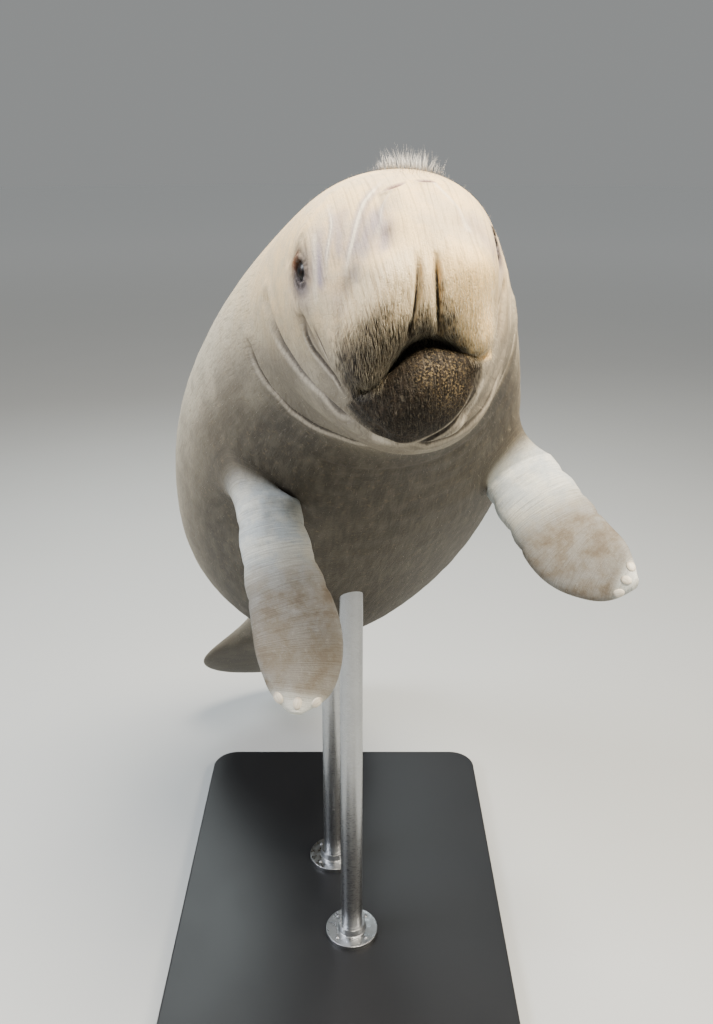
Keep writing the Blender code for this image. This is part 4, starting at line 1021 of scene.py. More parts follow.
# soft wrinkled hide: mottled grey and cream, tan pads and a dark chin, blue-grey flippers
def hideMaterial():
    material, tree, shader = newMaterial("wrinkledHide", **{"Roughness": hide["roughness"], "Specular IOR Level": 0.30})
    where = addNode(tree, "ShaderNodeTexCoord").outputs["Object"]
    rest = attribute(tree, "rest", "Vector")
    way = attribute(tree, "wrinkleWay", "Vector")
    tone = {key: linear(value) for key, value in hide.items() if isinstance(value, str)}
    mark = {name: attribute(tree, name) for name in (
        "cream", "pads", "litSideWarmth", "cheekShade", "chinSkin", "speckled", "darkSkinAndShade", "eyePatch", "hollow", "belly", "back", "flipperSkin",
        "flipperOuter", "flipperTip", "wrist", "paleLineAndHighlight", "paintedCreaseShade", "rightGroove", "leftGroove", "grooveBand", "lid",
        "slit", "fold")}

    # noise drawn out along the wrinkles: its width across them in mm and how many times longer it is
    def drawnOut(mm, times, detail=3.0):
        size = (1000.0 / mm, 1000.0 / mm / times, 1.0)
        stretched = addNode(tree, "ShaderNodeMapping", {"Vector": way, "Scale": size}).outputs[0]
        return addNode(tree, "ShaderNodeTexNoise", {"Vector": stretched, "Scale": 1.0, "Detail": detail}).outputs[0]

    def product(a, b):
        return maths(tree, "MULTIPLY", a, b)

    cloudy = noise(tree, where, 130.0, 4.0, 0.6)
    blotchy = noise(tree, where, 34.0, 4.0, 0.65)
    spotty = noise(tree, where, 8.0, 4.0, 0.65)
    grain = noise(tree, where, hide["grainMm"], 3.0, 0.6)
    streaks = drawnOut(3.2, 9.0)
    fineStreaks = drawnOut(1.5, 7.0)
    wideStreaks = drawnOut(11.0, 6.0)

    # the body's mottled grey, paler on the back and browner below, partly painted light from above and painted shade
    # underneath
    colour = mixed(tree, between(tree, cloudy, 0.36, 0.64), tone["greyDark"], tone["grey"])
    colour = mixed(tree, product(mark["back"], 0.75), colour, tone["back"])
    colour = mixed(tree, product(mark["belly"], 0.92), colour, tone["belly"])
    colour = mixed(tree, between(tree, blotchy, 0.52, 0.72, 0.0, 0.14), colour, tone["flipperBrown"])
    colour = mixed(tree, between(tree, spotty, 0.55, 0.74, 0.0, 0.08), colour, tone["cream"])
    colour = mixed(tree, between(tree, wideStreaks, 0.40, 0.66, 0.0, 0.06), colour, tone["back"])

    # cream head with painted lavender shade in its hollows
    creamy = mixed(tree, between(tree, blotchy, 0.36, 0.62), tone["creamShade"], tone["cream"])
    colour = mixed(tree, mark["cream"], colour, creamy)
    colour = mixed(tree, product(mark["hollow"], between(tree, wideStreaks, 0.30, 0.60, 0.55, 0.90)), colour,
                   tone["lavender"])

    # painted shade below the right eye and under the chin
    colour = mixed(tree, product(mark["cheekShade"], between(tree, wideStreaks, 0.36, 0.60, 0.30, 0.75)), colour,
                   tone["greyDark"])

    # flippers: pale towards the body, brown and mottled beyond the wrist, scratched pale across it
    fin = mixed(tree, between(tree, blotchy, 0.40, 0.62), tone["flipper"], tone["flipperPale"])
    brown = product(mark["flipperOuter"], between(tree, blotchy, 0.30, 0.66, 0.70, 1.0))
    fin = mixed(tree, brown, fin, tone["flipperBrown"])
    fin = mixed(tree, between(tree, cloudy, 0.50, 0.40, 0.0, 0.35), fin, tone["greyDark"])
    fin = mixed(tree, between(tree, spotty, 0.54, 0.76, 0.0, 0.14), fin, tone["flipperPale"])
    fin = mixed(tree, product(mark["wrist"], between(tree, streaks, 0.55, 0.66, 0.0, 0.75)), fin, tone["flipperPale"])
    fin = mixed(tree, mark["flipperTip"], fin, tone["flipperPale"])
    colour = mixed(tree, mark["flipperSkin"], colour, fin)

    # bristly pads, dark towards the mouth, and the speckled chin, the dark partly the skin's own and partly painted
    # shade; the edges wander with the wrinkles
    padTone = mixed(tree, between(tree, streaks, 0.38, 0.60), tone["pads"], tone["padsPale"])
    # painted warm light on the pad of the lit left side
    padTone = mixed(tree, product(mark["litSideWarmth"], 0.80), padTone, tone["padsLitWarmth"])
    padTone = mixed(tree, between(tree, fineStreaks, 0.46, 0.30, 0.0, 0.38), padTone, tone["wrinkle"])
    uneven = maths(tree, "ADD", product(spotty, 0.30), product(fineStreaks, 0.70))
    padEdge = maths(tree, "ADD", mark["pads"], maths(tree, "SUBTRACT", uneven, 0.5))
    colour = mixed(tree, between(tree, padEdge, 0.10, 1.05, 0.0, 0.88), colour, padTone)
    darkAndShadeTone = mixed(tree, between(tree, spotty, 0.45, 0.68), tone["dark"], tone["darkWarm"])
    fleck = noise(tree, where, 2.4, 3.0, 0.6)
    flecks = product(between(tree, fleck, 0.50, 0.64), mark["speckled"])
    darkAndShadeTone = mixed(tree, product(flecks, 0.85), darkAndShadeTone, tone["speckle"])
    flecks = product(between(tree, fleck, 0.60, 0.72), mark["chinSkin"])
    darkAndShadeTone = mixed(tree, product(flecks, 0.22), darkAndShadeTone, tone["speckle"])
    darkAndShadeEdge = maths(tree, "ADD", mark["darkSkinAndShade"], product(maths(tree, "SUBTRACT", uneven, 0.5), 2.2))
    colour = mixed(tree, between(tree, darkAndShadeEdge, 0.06, 0.70, 0.0, 0.55), colour, tone["darkWarm"])
    colour = mixed(tree, between(tree, darkAndShadeEdge, 0.36, 1.0), colour, darkAndShadeTone)

    # ridges and creases drawn from their distances: attribute, colour, half width, share, colour beside it
    # the dark lines are painted shade in the creases, and the colour beside each line is painted shade
    shaky = product(maths(tree, "SUBTRACT", spotty, 0.5), 0.0022)
    for name, key, wide, share, shadeBesideKey in (
            ("longRidge", "paleLineAndHighlight", 0.0030, 0.85, "lavender"), ("snoutRidge", "paleLineAndHighlight", 0.0014, 0.6, "lavender"),
            ("cheekRidge", "paleLineAndHighlight", 0.0016, 0.75, "lavender"), ("leftRidge", "paleLineAndHighlight", 0.0016, 0.5, "lavender"),
            ("chinFold", "dark", 0.0034, 0.95, "crease"), ("firstFold", "crease", 0.0042, 0.92, "crease"),
            ("secondFold", "crease", 0.0042, 0.88, "crease"), ("cornerCrease", "crease", 0.0018, 0.85, "wrinkle"),
            ("innerCrease", "wrinkle", 0.0013, 0.60, "wrinkle"), ("leftCrease", "crease", 0.0014, 0.75, "wrinkle")):
        parts = addNode(tree, "ShaderNodeSeparateXYZ", {0: attribute(tree, name, "Vector")}).outputs
        away = maths(tree, "ABSOLUTE", maths(tree, "ADD", parts["X"], shaky))
        near = product(between(tree, parts["Y"], 0.016, 0.009), parts["Z"])
        colour = mixed(tree, product(between(tree, parts["Y"], 3.6 * wide, 0.8 * wide, 0.0, 0.55), near), colour,
                       tone[shadeBesideKey])
        if key != "paleLineAndHighlight":
            # painted highlight where the lip of the fold catches the light
            lip = product(between(tree, away, 1.0 * wide, 1.6 * wide), between(tree, away, 3.2 * wide, 1.9 * wide))
            colour = mixed(tree, product(product(lip, near), 0.30), colour, tone["paleLineAndHighlight"])
        line = product(between(tree, away, wide, 0.3 * wide), near)
        colour = mixed(tree, product(line, share), colour, tone[key])

    # pale ridges with some painted highlight, painted shade in the creases and folds, lids darkened partly with painted
    # shade, and nostrils
    pale = product(mark["paleLineAndHighlight"], between(tree, blotchy, 0.32, 0.55, 0.55, 0.95))
    colour = mixed(tree, pale, colour, tone["paleLineAndHighlight"])
    # painted shade where the skin folds in and along the creases
    colour = mixed(tree, between(tree, mark["fold"], -0.0015, -0.0085, 0.0, 0.70), colour, tone["wrinkle"])
    colour = mixed(tree, product(mark["paintedCreaseShade"], 0.72), colour, tone["crease"])
    # painted shade down the two grooves between the pads
    for side in ("rightGroove", "leftGroove"):
        away = maths(tree, "ABSOLUTE", mark[side])
        away = maths(tree, "ADD", away, product(maths(tree, "SUBTRACT", spotty, 0.5), 0.0016))
        soft = product(between(tree, away, 0.0040, 0.0, 0.0, 0.35), mark["grooveBand"])
        colour = mixed(tree, soft, colour, tone["wrinkle"])
        line = product(between(tree, away, 0.0021, 0.0007), mark["grooveBand"])
        colour = mixed(tree, line, colour, tone["dark"])
    # dark round each eye, partly dark skin and partly painted shade
    colour = mixed(tree, product(mark["lid"], between(tree, spotty, 0.30, 0.62, 0.70, 1.0)), colour, tone["lid"])
    colour = mixed(tree, product(mark["eyePatch"], between(tree, spotty, 0.36, 0.60, 0.40, 0.90)), colour,
                   tone["eyePatch"])
    colour = mixed(tree, mark["slit"], colour, tone["slit"])

    # wrinkle network and fine grain; the network is fainter on the face
    stretched = addNode(tree, "ShaderNodeMapping", {"Vector": rest, "Scale": (1.0, 0.7, 0.7)}).outputs[0]
    shake = addNode(tree, "ShaderNodeTexNoise", {"Vector": rest, "Scale": 60.0, "Detail": 2.0}).outputs["Color"]
    shaken = addNode(tree, "ShaderNodeMix", {0: 0.010, 4: stretched, 5: shake}, data_type="VECTOR").outputs[1]
    net = addNode(tree, "ShaderNodeTexVoronoi", {"Vector": shaken, "Scale": 1000.0 / hide["netMm"]},
                  feature="DISTANCE_TO_EDGE").outputs[0]
    net = between(tree, net, 0.0, 0.16)
    faint = between(tree, maths(tree, "MAXIMUM", mark["cream"], mark["flipperSkin"]), 0.0, 1.0, 1.0, 0.22)
    pits = addNode(tree, "ShaderNodeTexVoronoi", {"Vector": where, "Scale": 1000.0 / hide["folliclesMm"]}).outputs[0]
    pits = product(between(tree, pits, 0.05, 0.45), maths(tree, "MAXIMUM", mark["pads"], mark["chinSkin"]))
    netDark = product(between(tree, net, 0.9, 0.0, 0.0, 0.14), faint)
    colour = mixed(tree, netDark, colour, tone["wrinkle"])
    colour = mixed(tree, between(tree, streaks, 0.50, 0.34, 0.0, 0.26), colour, tone["wrinkle"])
    colour = mixed(tree, between(tree, grain, 0.62, 0.36, 0.0, 0.16), colour, tone["wrinkle"])
    tree.links.new(colour, shader.inputs["Base Color"])

    normal = bump(tree, wideStreaks, 0.0014, 0.4)
    normal = bump(tree, streaks, 0.0014, 0.6, normal)
    normal = bump(tree, product(net, faint), 0.00035, 0.7, normal)
    normal = bump(tree, spotty, 0.0014, 0.40, normal)
    normal = bump(tree, pits, 0.0006, 0.7, normal)
    normal = bump(tree, product(fineStreaks, mark["pads"]), 0.0016, 0.6, normal)
    normal = bump(tree, grain, 0.00040, 0.8, normal)
    tree.links.new(normal, shader.inputs["Normal"])
    gloss = between(tree, mark["darkSkinAndShade"], 0.0, 1.0, hide["roughness"], 0.52)
    tree.links.new(maths(tree, "ADD", gloss, product(grain, 0.12)), shader.inputs["Roughness"])
    tree.links.new(between(tree, mark["darkSkinAndShade"], 0.0, 1.0, 0.30, 0.12), shader.inputs["Specular IOR Level"])
    return material


wrinkledHide = hideMaterial()
skinData.materials.append(wrinkledHide)
skin = addPiece("skin", skinData, "hide", "muzzle", "chin", "head", "neck", "torso", "tail_stock", "tail_paddle",
                "flipper_left", "flipper_right", "eyelids_left", "eyelids_right")


print("hide coloured")

# bristles and hairs: where they grow (a marking), how far apart and long in metres, how they stand up
coats = {
    "padBristles": {"on": "bristly", "longWhere": "padLength", "apart": 0.0014, "perSquareMetre": 520000,
                    "length": 0.0115, "thick": 0.00019, "lift": 0.32, "bend": 0.25, "jitter": 0.30, "seed": 3,
                    "root": "#8a7859", "tip": "#f4e8c8", "overDarkAndShade": "#3d3729"},
    "chinBristles": {"on": "chinHair", "longWhere": "everywhere", "apart": 0.0020, "perSquareMetre": 260000,
                     "length": 0.0060, "thick": 0.00018, "lift": 0.50, "bend": 0.20, "jitter": 0.5, "seed": 5,
                     "root": "#150f0a", "tip": "#7a6846", "overDarkAndShade": "#2c2519"},
    "crownHairs": {"on": "crown", "longWhere": "crown", "apart": 0.0026, "perSquareMetre": 80000,
                   "length": 0.0290, "thick": 0.00013, "lift": 2.4, "bend": 0.45, "jitter": 0.85, "seed": 11,
                   "root": "#8f8573", "tip": "#f4f0e6", "overDarkAndShade": "#8f8573"},
    "bodyHairs": {"on": "sparse", "longWhere": "everywhere", "apart": 0.0080, "perSquareMetre": 11000,
                  "length": 0.0070, "thick": 0.00010, "lift": 0.60, "bend": 0.35, "jitter": 0.45, "seed": 17,
                  "root": "#a79c8c", "tip": "#cfc5b3", "overDarkAndShade": "#a79c8c"},
}


def addHairMasks(data):
    rest, arm = readAttribute(data, "rest"), readAttribute(data, "arm")
    x, s, z = rest.T
    body = (arm < 0.001).astype(float)
    hidden = np.maximum(readAttribute(data, "socket"), readAttribute(data, "inMouth"))
    hidden = np.maximum(hidden, readAttribute(data, "slit"))
    bald = np.maximum(np.maximum(readAttribute(data, "pads"), readAttribute(data, "chinSkin")), hidden)
    # a tuft on top of the head that thins out down the sides
    crown = 1 - ease(0.35, 1.0, np.hypot((x - 0.030) / 0.050, (s - 0.130) / 0.095))
    crown = crown * ease(0.04, 0.08, z) * body * (1 - hidden)
    keepAttribute(data, "everywhere", np.ones(len(x)))
    chin = readAttribute(data, "chinSkin")
    keepAttribute(data, "chinHair", np.clip(chin * (0.30 + 0.70 * readAttribute(data, "speckled")), 0, 1))
    # no bristles in the grooves
    inGroove = np.minimum(np.abs(readAttribute(data, "rightGroove")), np.abs(readAttribute(data, "leftGroove")))
    inGroove = (1 - ease(0.0012, 0.0034, inGroove)) * readAttribute(data, "grooveBand")
    bristly = readAttribute(data, "pads") * (1 - inGroove)
    keepAttribute(data, "bristly", bristly)
    sparse = (0.35 + 0.65 * (1 - ease(0.25, 0.6, s))) * (1 - bald) * (1 - 0.7 * ease(0.1, 0.4, arm))
    keepAttribute(data, "crown", np.clip(crown, 0, 1))
    keepAttribute(data, "sparse", np.clip(sparse, 0, 1))


# tree that sets bent tapered hairs on the skin, then joins them into one mesh
def hairTree(name, values, material):
    tree = bpy.data.node_groups.new(name, "GeometryNodeTree")
    face = tree.interface
    face.new_socket("Skin", in_out="INPUT", socket_type="NodeSocketGeometry")
    for key in ("Length", "Thickness", "Apart", "PerSquareMetre", "Lift", "Bend", "Jitter"):
        face.new_socket(key, in_out="INPUT", socket_type="NodeSocketFloat")
    face.new_socket("Seed", in_out="INPUT", socket_type="NodeSocketInt")
    face.new_socket("Hairs", in_out="OUTPUT", socket_type="NodeSocketGeometry")
    given = addNode(tree, "NodeGroupInput").outputs

    def named(title, kind="FLOAT"):
        node = addNode(tree, "GeometryNodeInputNamedAttribute", {"Name": title}, data_type=kind)
        return node.outputs["Attribute"]

    def store(geometry, title, value, kind, domain="POINT"):
        inputs = {"Geometry": geometry, "Name": title, "Value": value}
        return addNode(tree, "GeometryNodeStoreNamedAttribute", inputs, data_type=kind, domain=domain).outputs[0]

    def vectorMath(operation, a, b=None, scale=None):
        inputs = {0: a}
        if b is not None:
            inputs[1] = b
        node = addNode(tree, "ShaderNodeVectorMath", inputs, operation=operation)
        if scale is not None:
            if isinstance(scale, bpy.types.NodeSocket):
                tree.links.new(scale, node.inputs["Scale"])
            else:
                node.inputs["Scale"].default_value = scale
        return node.outputs[0]

    # one hair of three sides, tapered and bent
    cone = addNode(tree, "GeometryNodeMeshCone", {
        "Vertices": 3, "Side Segments": 2, "Radius Top": 0.0, "Radius Bottom": given["Thickness"],
        "Depth": given["Length"]}, fill_type="NGON").outputs[0]
    at = addNode(tree, "GeometryNodeInputPosition").outputs[0]
    parts = addNode(tree, "ShaderNodeSeparateXYZ", {0: at}).outputs
    share = maths(tree, "DIVIDE", parts["Z"], given["Length"])
    bow = maths(tree, "MULTIPLY", maths(tree, "MULTIPLY", share, share), given["Bend"])
    bow = maths(tree, "MULTIPLY", bow, given["Length"])
    aside = addNode(tree, "ShaderNodeCombineXYZ", {"X": bow}).outputs[0]
    hair = store(cone, "tip", share, "FLOAT")
    patch = addNode(tree, "ShaderNodeCombineXYZ", {
        "X": maths(tree, "MULTIPLY", maths(tree, "DIVIDE", parts["X"], given["Thickness"]), 0.0012),
        "Y": maths(tree, "MULTIPLY", share, 0.0028)}).outputs[0]
    hair = store(hair, "patch", patch, "FLOAT_VECTOR")
    hair = addNode(tree, "GeometryNodeSetPosition", {"Geometry": hair, "Offset": aside}).outputs[0]

    scatter = addNode(tree, "GeometryNodeDistributePointsOnFaces", {
        "Mesh": given["Skin"], "Distance Min": given["Apart"], "Density Max": given["PerSquareMetre"],
        "Density Factor": named(values["on"]), "Seed": given["Seed"]}, distribute_method="POISSON")
    points = scatter.outputs["Points"]
    points = store(points, "rootPlace", named("OFBake", "FLOAT_VECTOR"), "FLOAT_VECTOR")
    points = addNode(tree, "GeometryNodeRemoveAttribute", {"Geometry": points, "Name": "OFBake"}).outputs[0]
    low, high = (-1.0, -1.0, -1.0), (1.0, 1.0, 1.0)
    stray = addNode(tree, "FunctionNodeRandomValue", {"Min": low, "Max": high, "Seed": given["Seed"]},
                    data_type="FLOAT_VECTOR").outputs[0]
    way = vectorMath("SCALE", named("outwards", "FLOAT_VECTOR"), scale=given["Lift"])
    way = vectorMath("ADD", vectorMath("SCALE", named("lie", "FLOAT_VECTOR"), scale=1.0), way)
    way = vectorMath("ADD", way, vectorMath("SCALE", stray, scale=given["Jitter"]))
    turn = addNode(tree, "FunctionNodeAlignRotationToVector", {"Vector": way}, axis="Z").outputs[0]
    # the hair's bend is turned towards the lie of the coat
    turn = addNode(tree, "FunctionNodeAlignRotationToVector", {
        "Rotation": turn, "Vector": vectorMath("SCALE", named("lie", "FLOAT_VECTOR"), scale=1.0)},
        axis="X", pivot_axis="Z").outputs[0]
    size = addNode(tree, "FunctionNodeRandomValue", {2: 0.60, 3: 1.15, "Seed": given["Seed"]}).outputs[1]
    longer = between(tree, named(values["longWhere"]), 0.0, 1.0, 0.30, 1.0)
    size = maths(tree, "MULTIPLY", size, longer)
    tint = addNode(tree, "FunctionNodeRandomValue", {2: 0.0, 3: 1.0, "Seed": 77}).outputs[1]
    points = store(points, "tint", tint, "FLOAT")
    made = addNode(tree, "GeometryNodeInstanceOnPoints", {"Points": points, "Instance": hair, "Rotation": turn,
                                                         "Scale": size}).outputs[0]
    made = addNode(tree, "GeometryNodeRealizeInstances", {"Geometry": made}).outputs[0]
    place = vectorMath("ADD", named("rootPlace", "FLOAT_VECTOR"), named("patch", "FLOAT_VECTOR"))
    made = store(made, "OFBake", place, "FLOAT2", "CORNER")
    made = addNode(tree, "GeometryNodeSetMaterial", {"Geometry": made, "Material": material}).outputs[0]
    addNode(tree, "NodeGroupOutput", {"Hairs": made})
    return tree


# one modifier with its inputs set, evaluated and kept as a plain mesh
def grow(name, source, tree, inputs):
    thing = bpy.data.objects.new(name + "Source", source)
    bpy.context.scene.collection.objects.link(thing)
    modifier = thing.modifiers.new("grow", "NODES")
    modifier.node_group = tree
    for item in tree.interface.items_tree:
        if item.item_type == "SOCKET" and item.in_out == "INPUT" and item.name in inputs:
            modifier[item.identifier] = inputs[item.name]
    bpy.context.view_layer.update()
    ready = thing.evaluated_get(bpy.context.evaluated_depsgraph_get())
    data = bpy.data.meshes.new_from_object(ready)
    data.name = name
    thing.modifiers.remove(modifier)
    bpy.data.objects.remove(thing)
    return data


# pale hair, darker at its root and a little different from its neighbours
def hairMaterial(name, values):
    material, tree, shader = newMaterial(name, Roughness=0.45)
    share = between(tree, attribute(tree, "tip"), 0.0, 0.45)
    colour = mixed(tree, share, linear(values["root"]), linear(values["tip"]))
    tint = between(tree, attribute(tree, "tint"), 0.0, 1.0, 0.0, 0.45)
    colour = mixed(tree, tint, colour, linear(values["root"]))
    # duller over dark skin and painted shade
    share = between(tree, attribute(tree, "darkSkinAndShade"), 0.2, 0.9, 0.0, 0.62)
    colour = mixed(tree, share, colour, linear(values["overDarkAndShade"]))
    tree.links.new(colour, shader.inputs["Base Color"])
    return material


addHairMasks(skinData)
coatSlots = {"padBristles": "muzzle", "chinBristles": "chin", "crownHairs": "hide", "bodyHairs": "hide"}
for name, values in coats.items():
    tree = hairTree(name, values, hairMaterial(name + "Colour", values))
    data = grow(name, skinData, tree, {
        "Length": values["length"], "Thickness": values["thick"], "Apart": values["apart"],
        "PerSquareMetre": float(values["perSquareMetre"]), "Lift": values["lift"], "Bend": values["bend"],
        "Jitter": values["jitter"], "Seed": values["seed"]})
    data.shade_smooth()
    addPiece(name, data, coatSlots[name])
    print(name, sum(len(p.vertices) - 2 for p in data.polygons), "triangles, unwrap", "OFBake" in data.uv_layers)


# ball with its poles on the third axis; keeps where each point lies from its middle, along its own axes
def ballMesh(name, centre, axes, sizes, columns, rows):
    maker = Maker()
    turn = np.arange(columns) / columns * 2 * math.pi
    rings = []
    for k in range(1, rows):
        lean = math.pi * k / rows
        wide = math.sin(lean)
        flat = np.stack([np.cos(turn) * wide, np.sin(turn) * wide, np.full(columns, math.cos(lean))], axis=1)
        rings.append(maker.add(np.array(centre) + (flat * sizes) @ axes))
    for k, (a, b) in enumerate(zip(rings[:-1], rings[1:])):
        maker.strip(a, b, (0, 1), ((k + 1) / rows, (k + 2) / rows))
    maker.cap(rings[0], (0, 1), 0.0)
    maker.cap(rings[-1], (0, 1), 1.0)
    data = tidyMesh(maker.mesh(name))
    keepAttribute(data, "own", (coordinates(data) - centre) @ np.array(axes).T)
    return data


eyeLook = {"pupil": "#030202", "iris": "#120b07", "irisPale": "#26180d", "rim": "#080504", "white": "#15100c",
           "pupilMm": 3.2, "irisMm": 7.6, "roughness": 0.34, "coat": 0.08}


# wet glassy eye, nearly black, with a brown iris streaked from its middle
def eyeMaterial():
    values = {"Roughness": eyeLook["roughness"], "Coat Weight": eyeLook["coat"], "Coat Roughness": 0.12,
              "Specular IOR Level": 0.20}
    material, tree, shader = newMaterial("wetEye", **values)
    own = attribute(tree, "own", "Vector")
    parts = addNode(tree, "ShaderNodeSeparateXYZ", {0: own}).outputs
    flat = addNode(tree, "ShaderNodeCombineXYZ", {"X": parts["X"], "Y": parts["Y"]}).outputs[0]
    away = addNode(tree, "ShaderNodeVectorMath", {0: flat}, operation="LENGTH").outputs["Value"]
    turn = maths(tree, "ARCTAN2", parts["Y"], parts["X"])
    spokes = addNode(tree, "ShaderNodeCombineXYZ", {"X": maths(tree, "MULTIPLY", turn, 4.0),
                                                    "Y": maths(tree, "MULTIPLY", away, 220.0)}).outputs[0]
    fibres = addNode(tree, "ShaderNodeTexNoise", {"Vector": spokes, "Scale": 3.0, "Detail": 3.0}).outputs[0]
    iris = mixed(tree, between(tree, fibres, 0.40, 0.65), linear(eyeLook["iris"]), linear(eyeLook["irisPale"]))
    pupilEdge, irisEdge = eyeLook["pupilMm"] / 1000, eyeLook["irisMm"] / 1000
    colour = mixed(tree, between(tree, away, pupilEdge, pupilEdge + 0.0008), linear(eyeLook["pupil"]), iris)
    colour = mixed(tree, between(tree, away, irisEdge - 0.0016, irisEdge), colour, linear(eyeLook["rim"]))
    colour = mixed(tree, between(tree, away, irisEdge, irisEdge + 0.0010), colour, linear(eyeLook["white"]))
    tree.links.new(colour, shader.inputs["Base Color"])
    return material


wetEye = eyeMaterial()
for side, (centre, axes) in eyeFrames.items():
    data = ballMesh("eyeball_" + side, centre, axes, [eyes["radius"]] * 3, 48, 32)
    data.materials.append(wetEye)
    addPiece("eyeball_" + side, data, "eye", "eye_" + side)
print("eyes made")

nails = {"size": (0.0062, 0.0085, 0.0030), "places": ((0.89, 215), (0.93, 270), (0.89, 325)),
         "pale": "#e4ddce", "shade": "#c9bfac", "bed": "#9a8f80"}


# dull keratin: fine ridges along the nail, darker where it leaves the skin
def nailMaterial():
    material, tree, shader = newMaterial("ridgedKeratin", Roughness=0.42)
    own = attribute(tree, "own", "Vector")
    along = addNode(tree, "ShaderNodeMapping", {"Vector": own, "Scale": (1400.0, 140.0, 140.0)}).outputs[0]
    ridges = addNode(tree, "ShaderNodeTexNoise", {"Vector": along, "Scale": 1.0, "Detail": 2.0}).outputs[0]
    clouds = noise(tree, own, 4.0, 3.0)
    colour = mixed(tree, between(tree, ridges, 0.30, 0.74), linear(nails["shade"]), linear(nails["pale"]))
    colour = mixed(tree, between(tree, clouds, 0.50, 0.72, 0.0, 0.30), colour, linear(nails["shade"]))
    back = addNode(tree, "ShaderNodeSeparateXYZ", {0: own}).outputs["Y"]
    colour = mixed(tree, between(tree, back, -0.0030, -0.0080, 0.0, 0.85), colour, linear(nails["bed"]))
    tree.links.new(colour, shader.inputs["Base Color"])
    tree.links.new(bump(tree, ridges, 0.0003, 0.5), shader.inputs["Normal"])
    return material


paleNail = nailMaterial()
for side in flippers:
    for number, (share, angle) in enumerate(nails["places"], 1):
        rings, away = flipperRings(side, 72, 41)
        k, j = round(share * 40), round(angle / 5)
        along = unit(rings[k + 1, j] - rings[k - 1, j])
        roundIt = unit(rings[k, (j + 1) % 72] - rings[k, j - 1])
        out = unit(np.cross(roundIt, along))
        axes = np.array([unit(np.cross(along, out)), along, out])
        data = ballMesh("nail", rings[k, j], axes, np.array(nails["size"]), 24, 16)
        data.materials.append(paleNail)
        addPiece("nail_%s_plate_%d" % (side, number), data, "nail", "nail_%s_%d" % (side, number))
print("nails made")

# display stand: sizes in metres
stand = {
    "length": 1.100, "width": 0.700, "height": 0.035, "corner": 0.060, "edge": 0.004,
    "rodRadius": 0.0220, "rods": {"front": 0.800, "back": 1.150}, "rodInto": 0.012,
    "flangeRadius": 0.0550, "flangeHeight": 0.010, "collarRadius": 0.0285, "collarHeight": 0.016,
    "screwRadius": 0.0042, "screwHeight": 0.0026, "screwRing": 0.0420, "screws": 4,
    "around": 96, "lacquer": "#17181b", "steel": "#a9abad",
}


# profile of (radius, height) points turned round an upright line
def turnedMesh(name, middle, profile, around, corners=5):
    maker = Maker()
    turn = np.arange(around) / around * 2 * math.pi
    smooth = [np.array(profile[0], float)]
    for before, here, after, bevel in [(profile[k - 1], profile[k], profile[k + 1], profile[k][2])
                                       for k in range(1, len(profile) - 1)]:
        here, before, after = (np.array(p[:2], float) for p in (here, before, after))
        start, end = here + bevel * unit(before - here), here + bevel * unit(after - here)
        for k in range(corners + 1):
            t = k / corners
            smooth.append((1 - t) ** 2 * start + 2 * t * (1 - t) * here + t * t * end)
    smooth.append(np.array(profile[-1], float))
    rings = []
    for radius, height in [p[:2] for p in smooth]:
        ring = np.stack([radius * np.cos(turn), radius * np.sin(turn), np.full(around, height)], axis=1)
        rings.append(maker.add(ring + [middle[0], middle[1], 0]))
    for k, (a, b) in enumerate(zip(rings[:-1], rings[1:])):
        maker.strip(a, b, (0, 1), (k / len(rings), (k + 1) / len(rings)))
    maker.cap(rings[0])
    maker.cap(rings[-1], v=1.0)
    return tidyMesh(maker.mesh(name))


def baseMesh(name, corners=16, steps=6):
    maker = Maker()
    loops = []
    bottom, top, edge = 0.0, stand["height"], stand["edge"]
    levels = [(bottom, edge * 0.25), (bottom + edge * 0.25, 0.0)]
    levels += [(top - edge + edge * math.sin(math.pi / 2 * k / steps), edge - edge * math.cos(math.pi / 2 * k / steps))
               for k in range(steps + 1)]
    for height, inset in levels:
        points = []
        for quarter, (sx, sy) in enumerate(((1, 1), (-1, 1), (-1, -1), (1, -1))):
            for k in range(corners + 1):
                turn = math.pi / 2 * (quarter + k / corners)
                points.append((sx * (stand["width"] / 2 - stand["corner"]) + (stand["corner"] - inset) * math.cos(turn),
                               sy * (stand["length"] / 2 - stand["corner"]) + (stand["corner"] - inset) * math.sin(turn),
                               height))
        loops.append(maker.add(points))
    for k, (a, b) in enumerate(zip(loops[:-1], loops[1:])):
        maker.strip(a, b, (0, 1), (k / len(loops), (k + 1) / len(loops)))
    maker.cap(loops[0])
    maker.cap(loops[-1], v=1.0)
    data = tidyMesh(maker.mesh(name))
    flat = [abs(p.normal.z) > 0.999 for p in data.polygons]
    data.polygons.foreach_set("use_smooth", [not f for f in flat])
    data.update()
    return data


# satin black lacquer on board, with a faint spray grain
def lacquerMaterial():
    material, tree, shader = newMaterial("satinLacquer", Roughness=0.38)
    where = addNode(tree, "ShaderNodeTexCoord").outputs["Object"]
    clouds = noise(tree, where, 160.0, 3.0)
    grain = noise(tree, where, 1.1, 2.0)
    colour = mixed(tree, between(tree, clouds, 0.35, 0.65, 0.0, 0.35), linear(stand["lacquer"]), linear("#1c1d20"))
    tree.links.new(colour, shader.inputs["Base Color"])
    tree.links.new(between(tree, clouds, 0.3, 0.7, 0.40, 0.44), shader.inputs["Roughness"])
    tree.links.new(bump(tree, grain, 0.00008, 0.6), shader.inputs["Normal"])
    return material


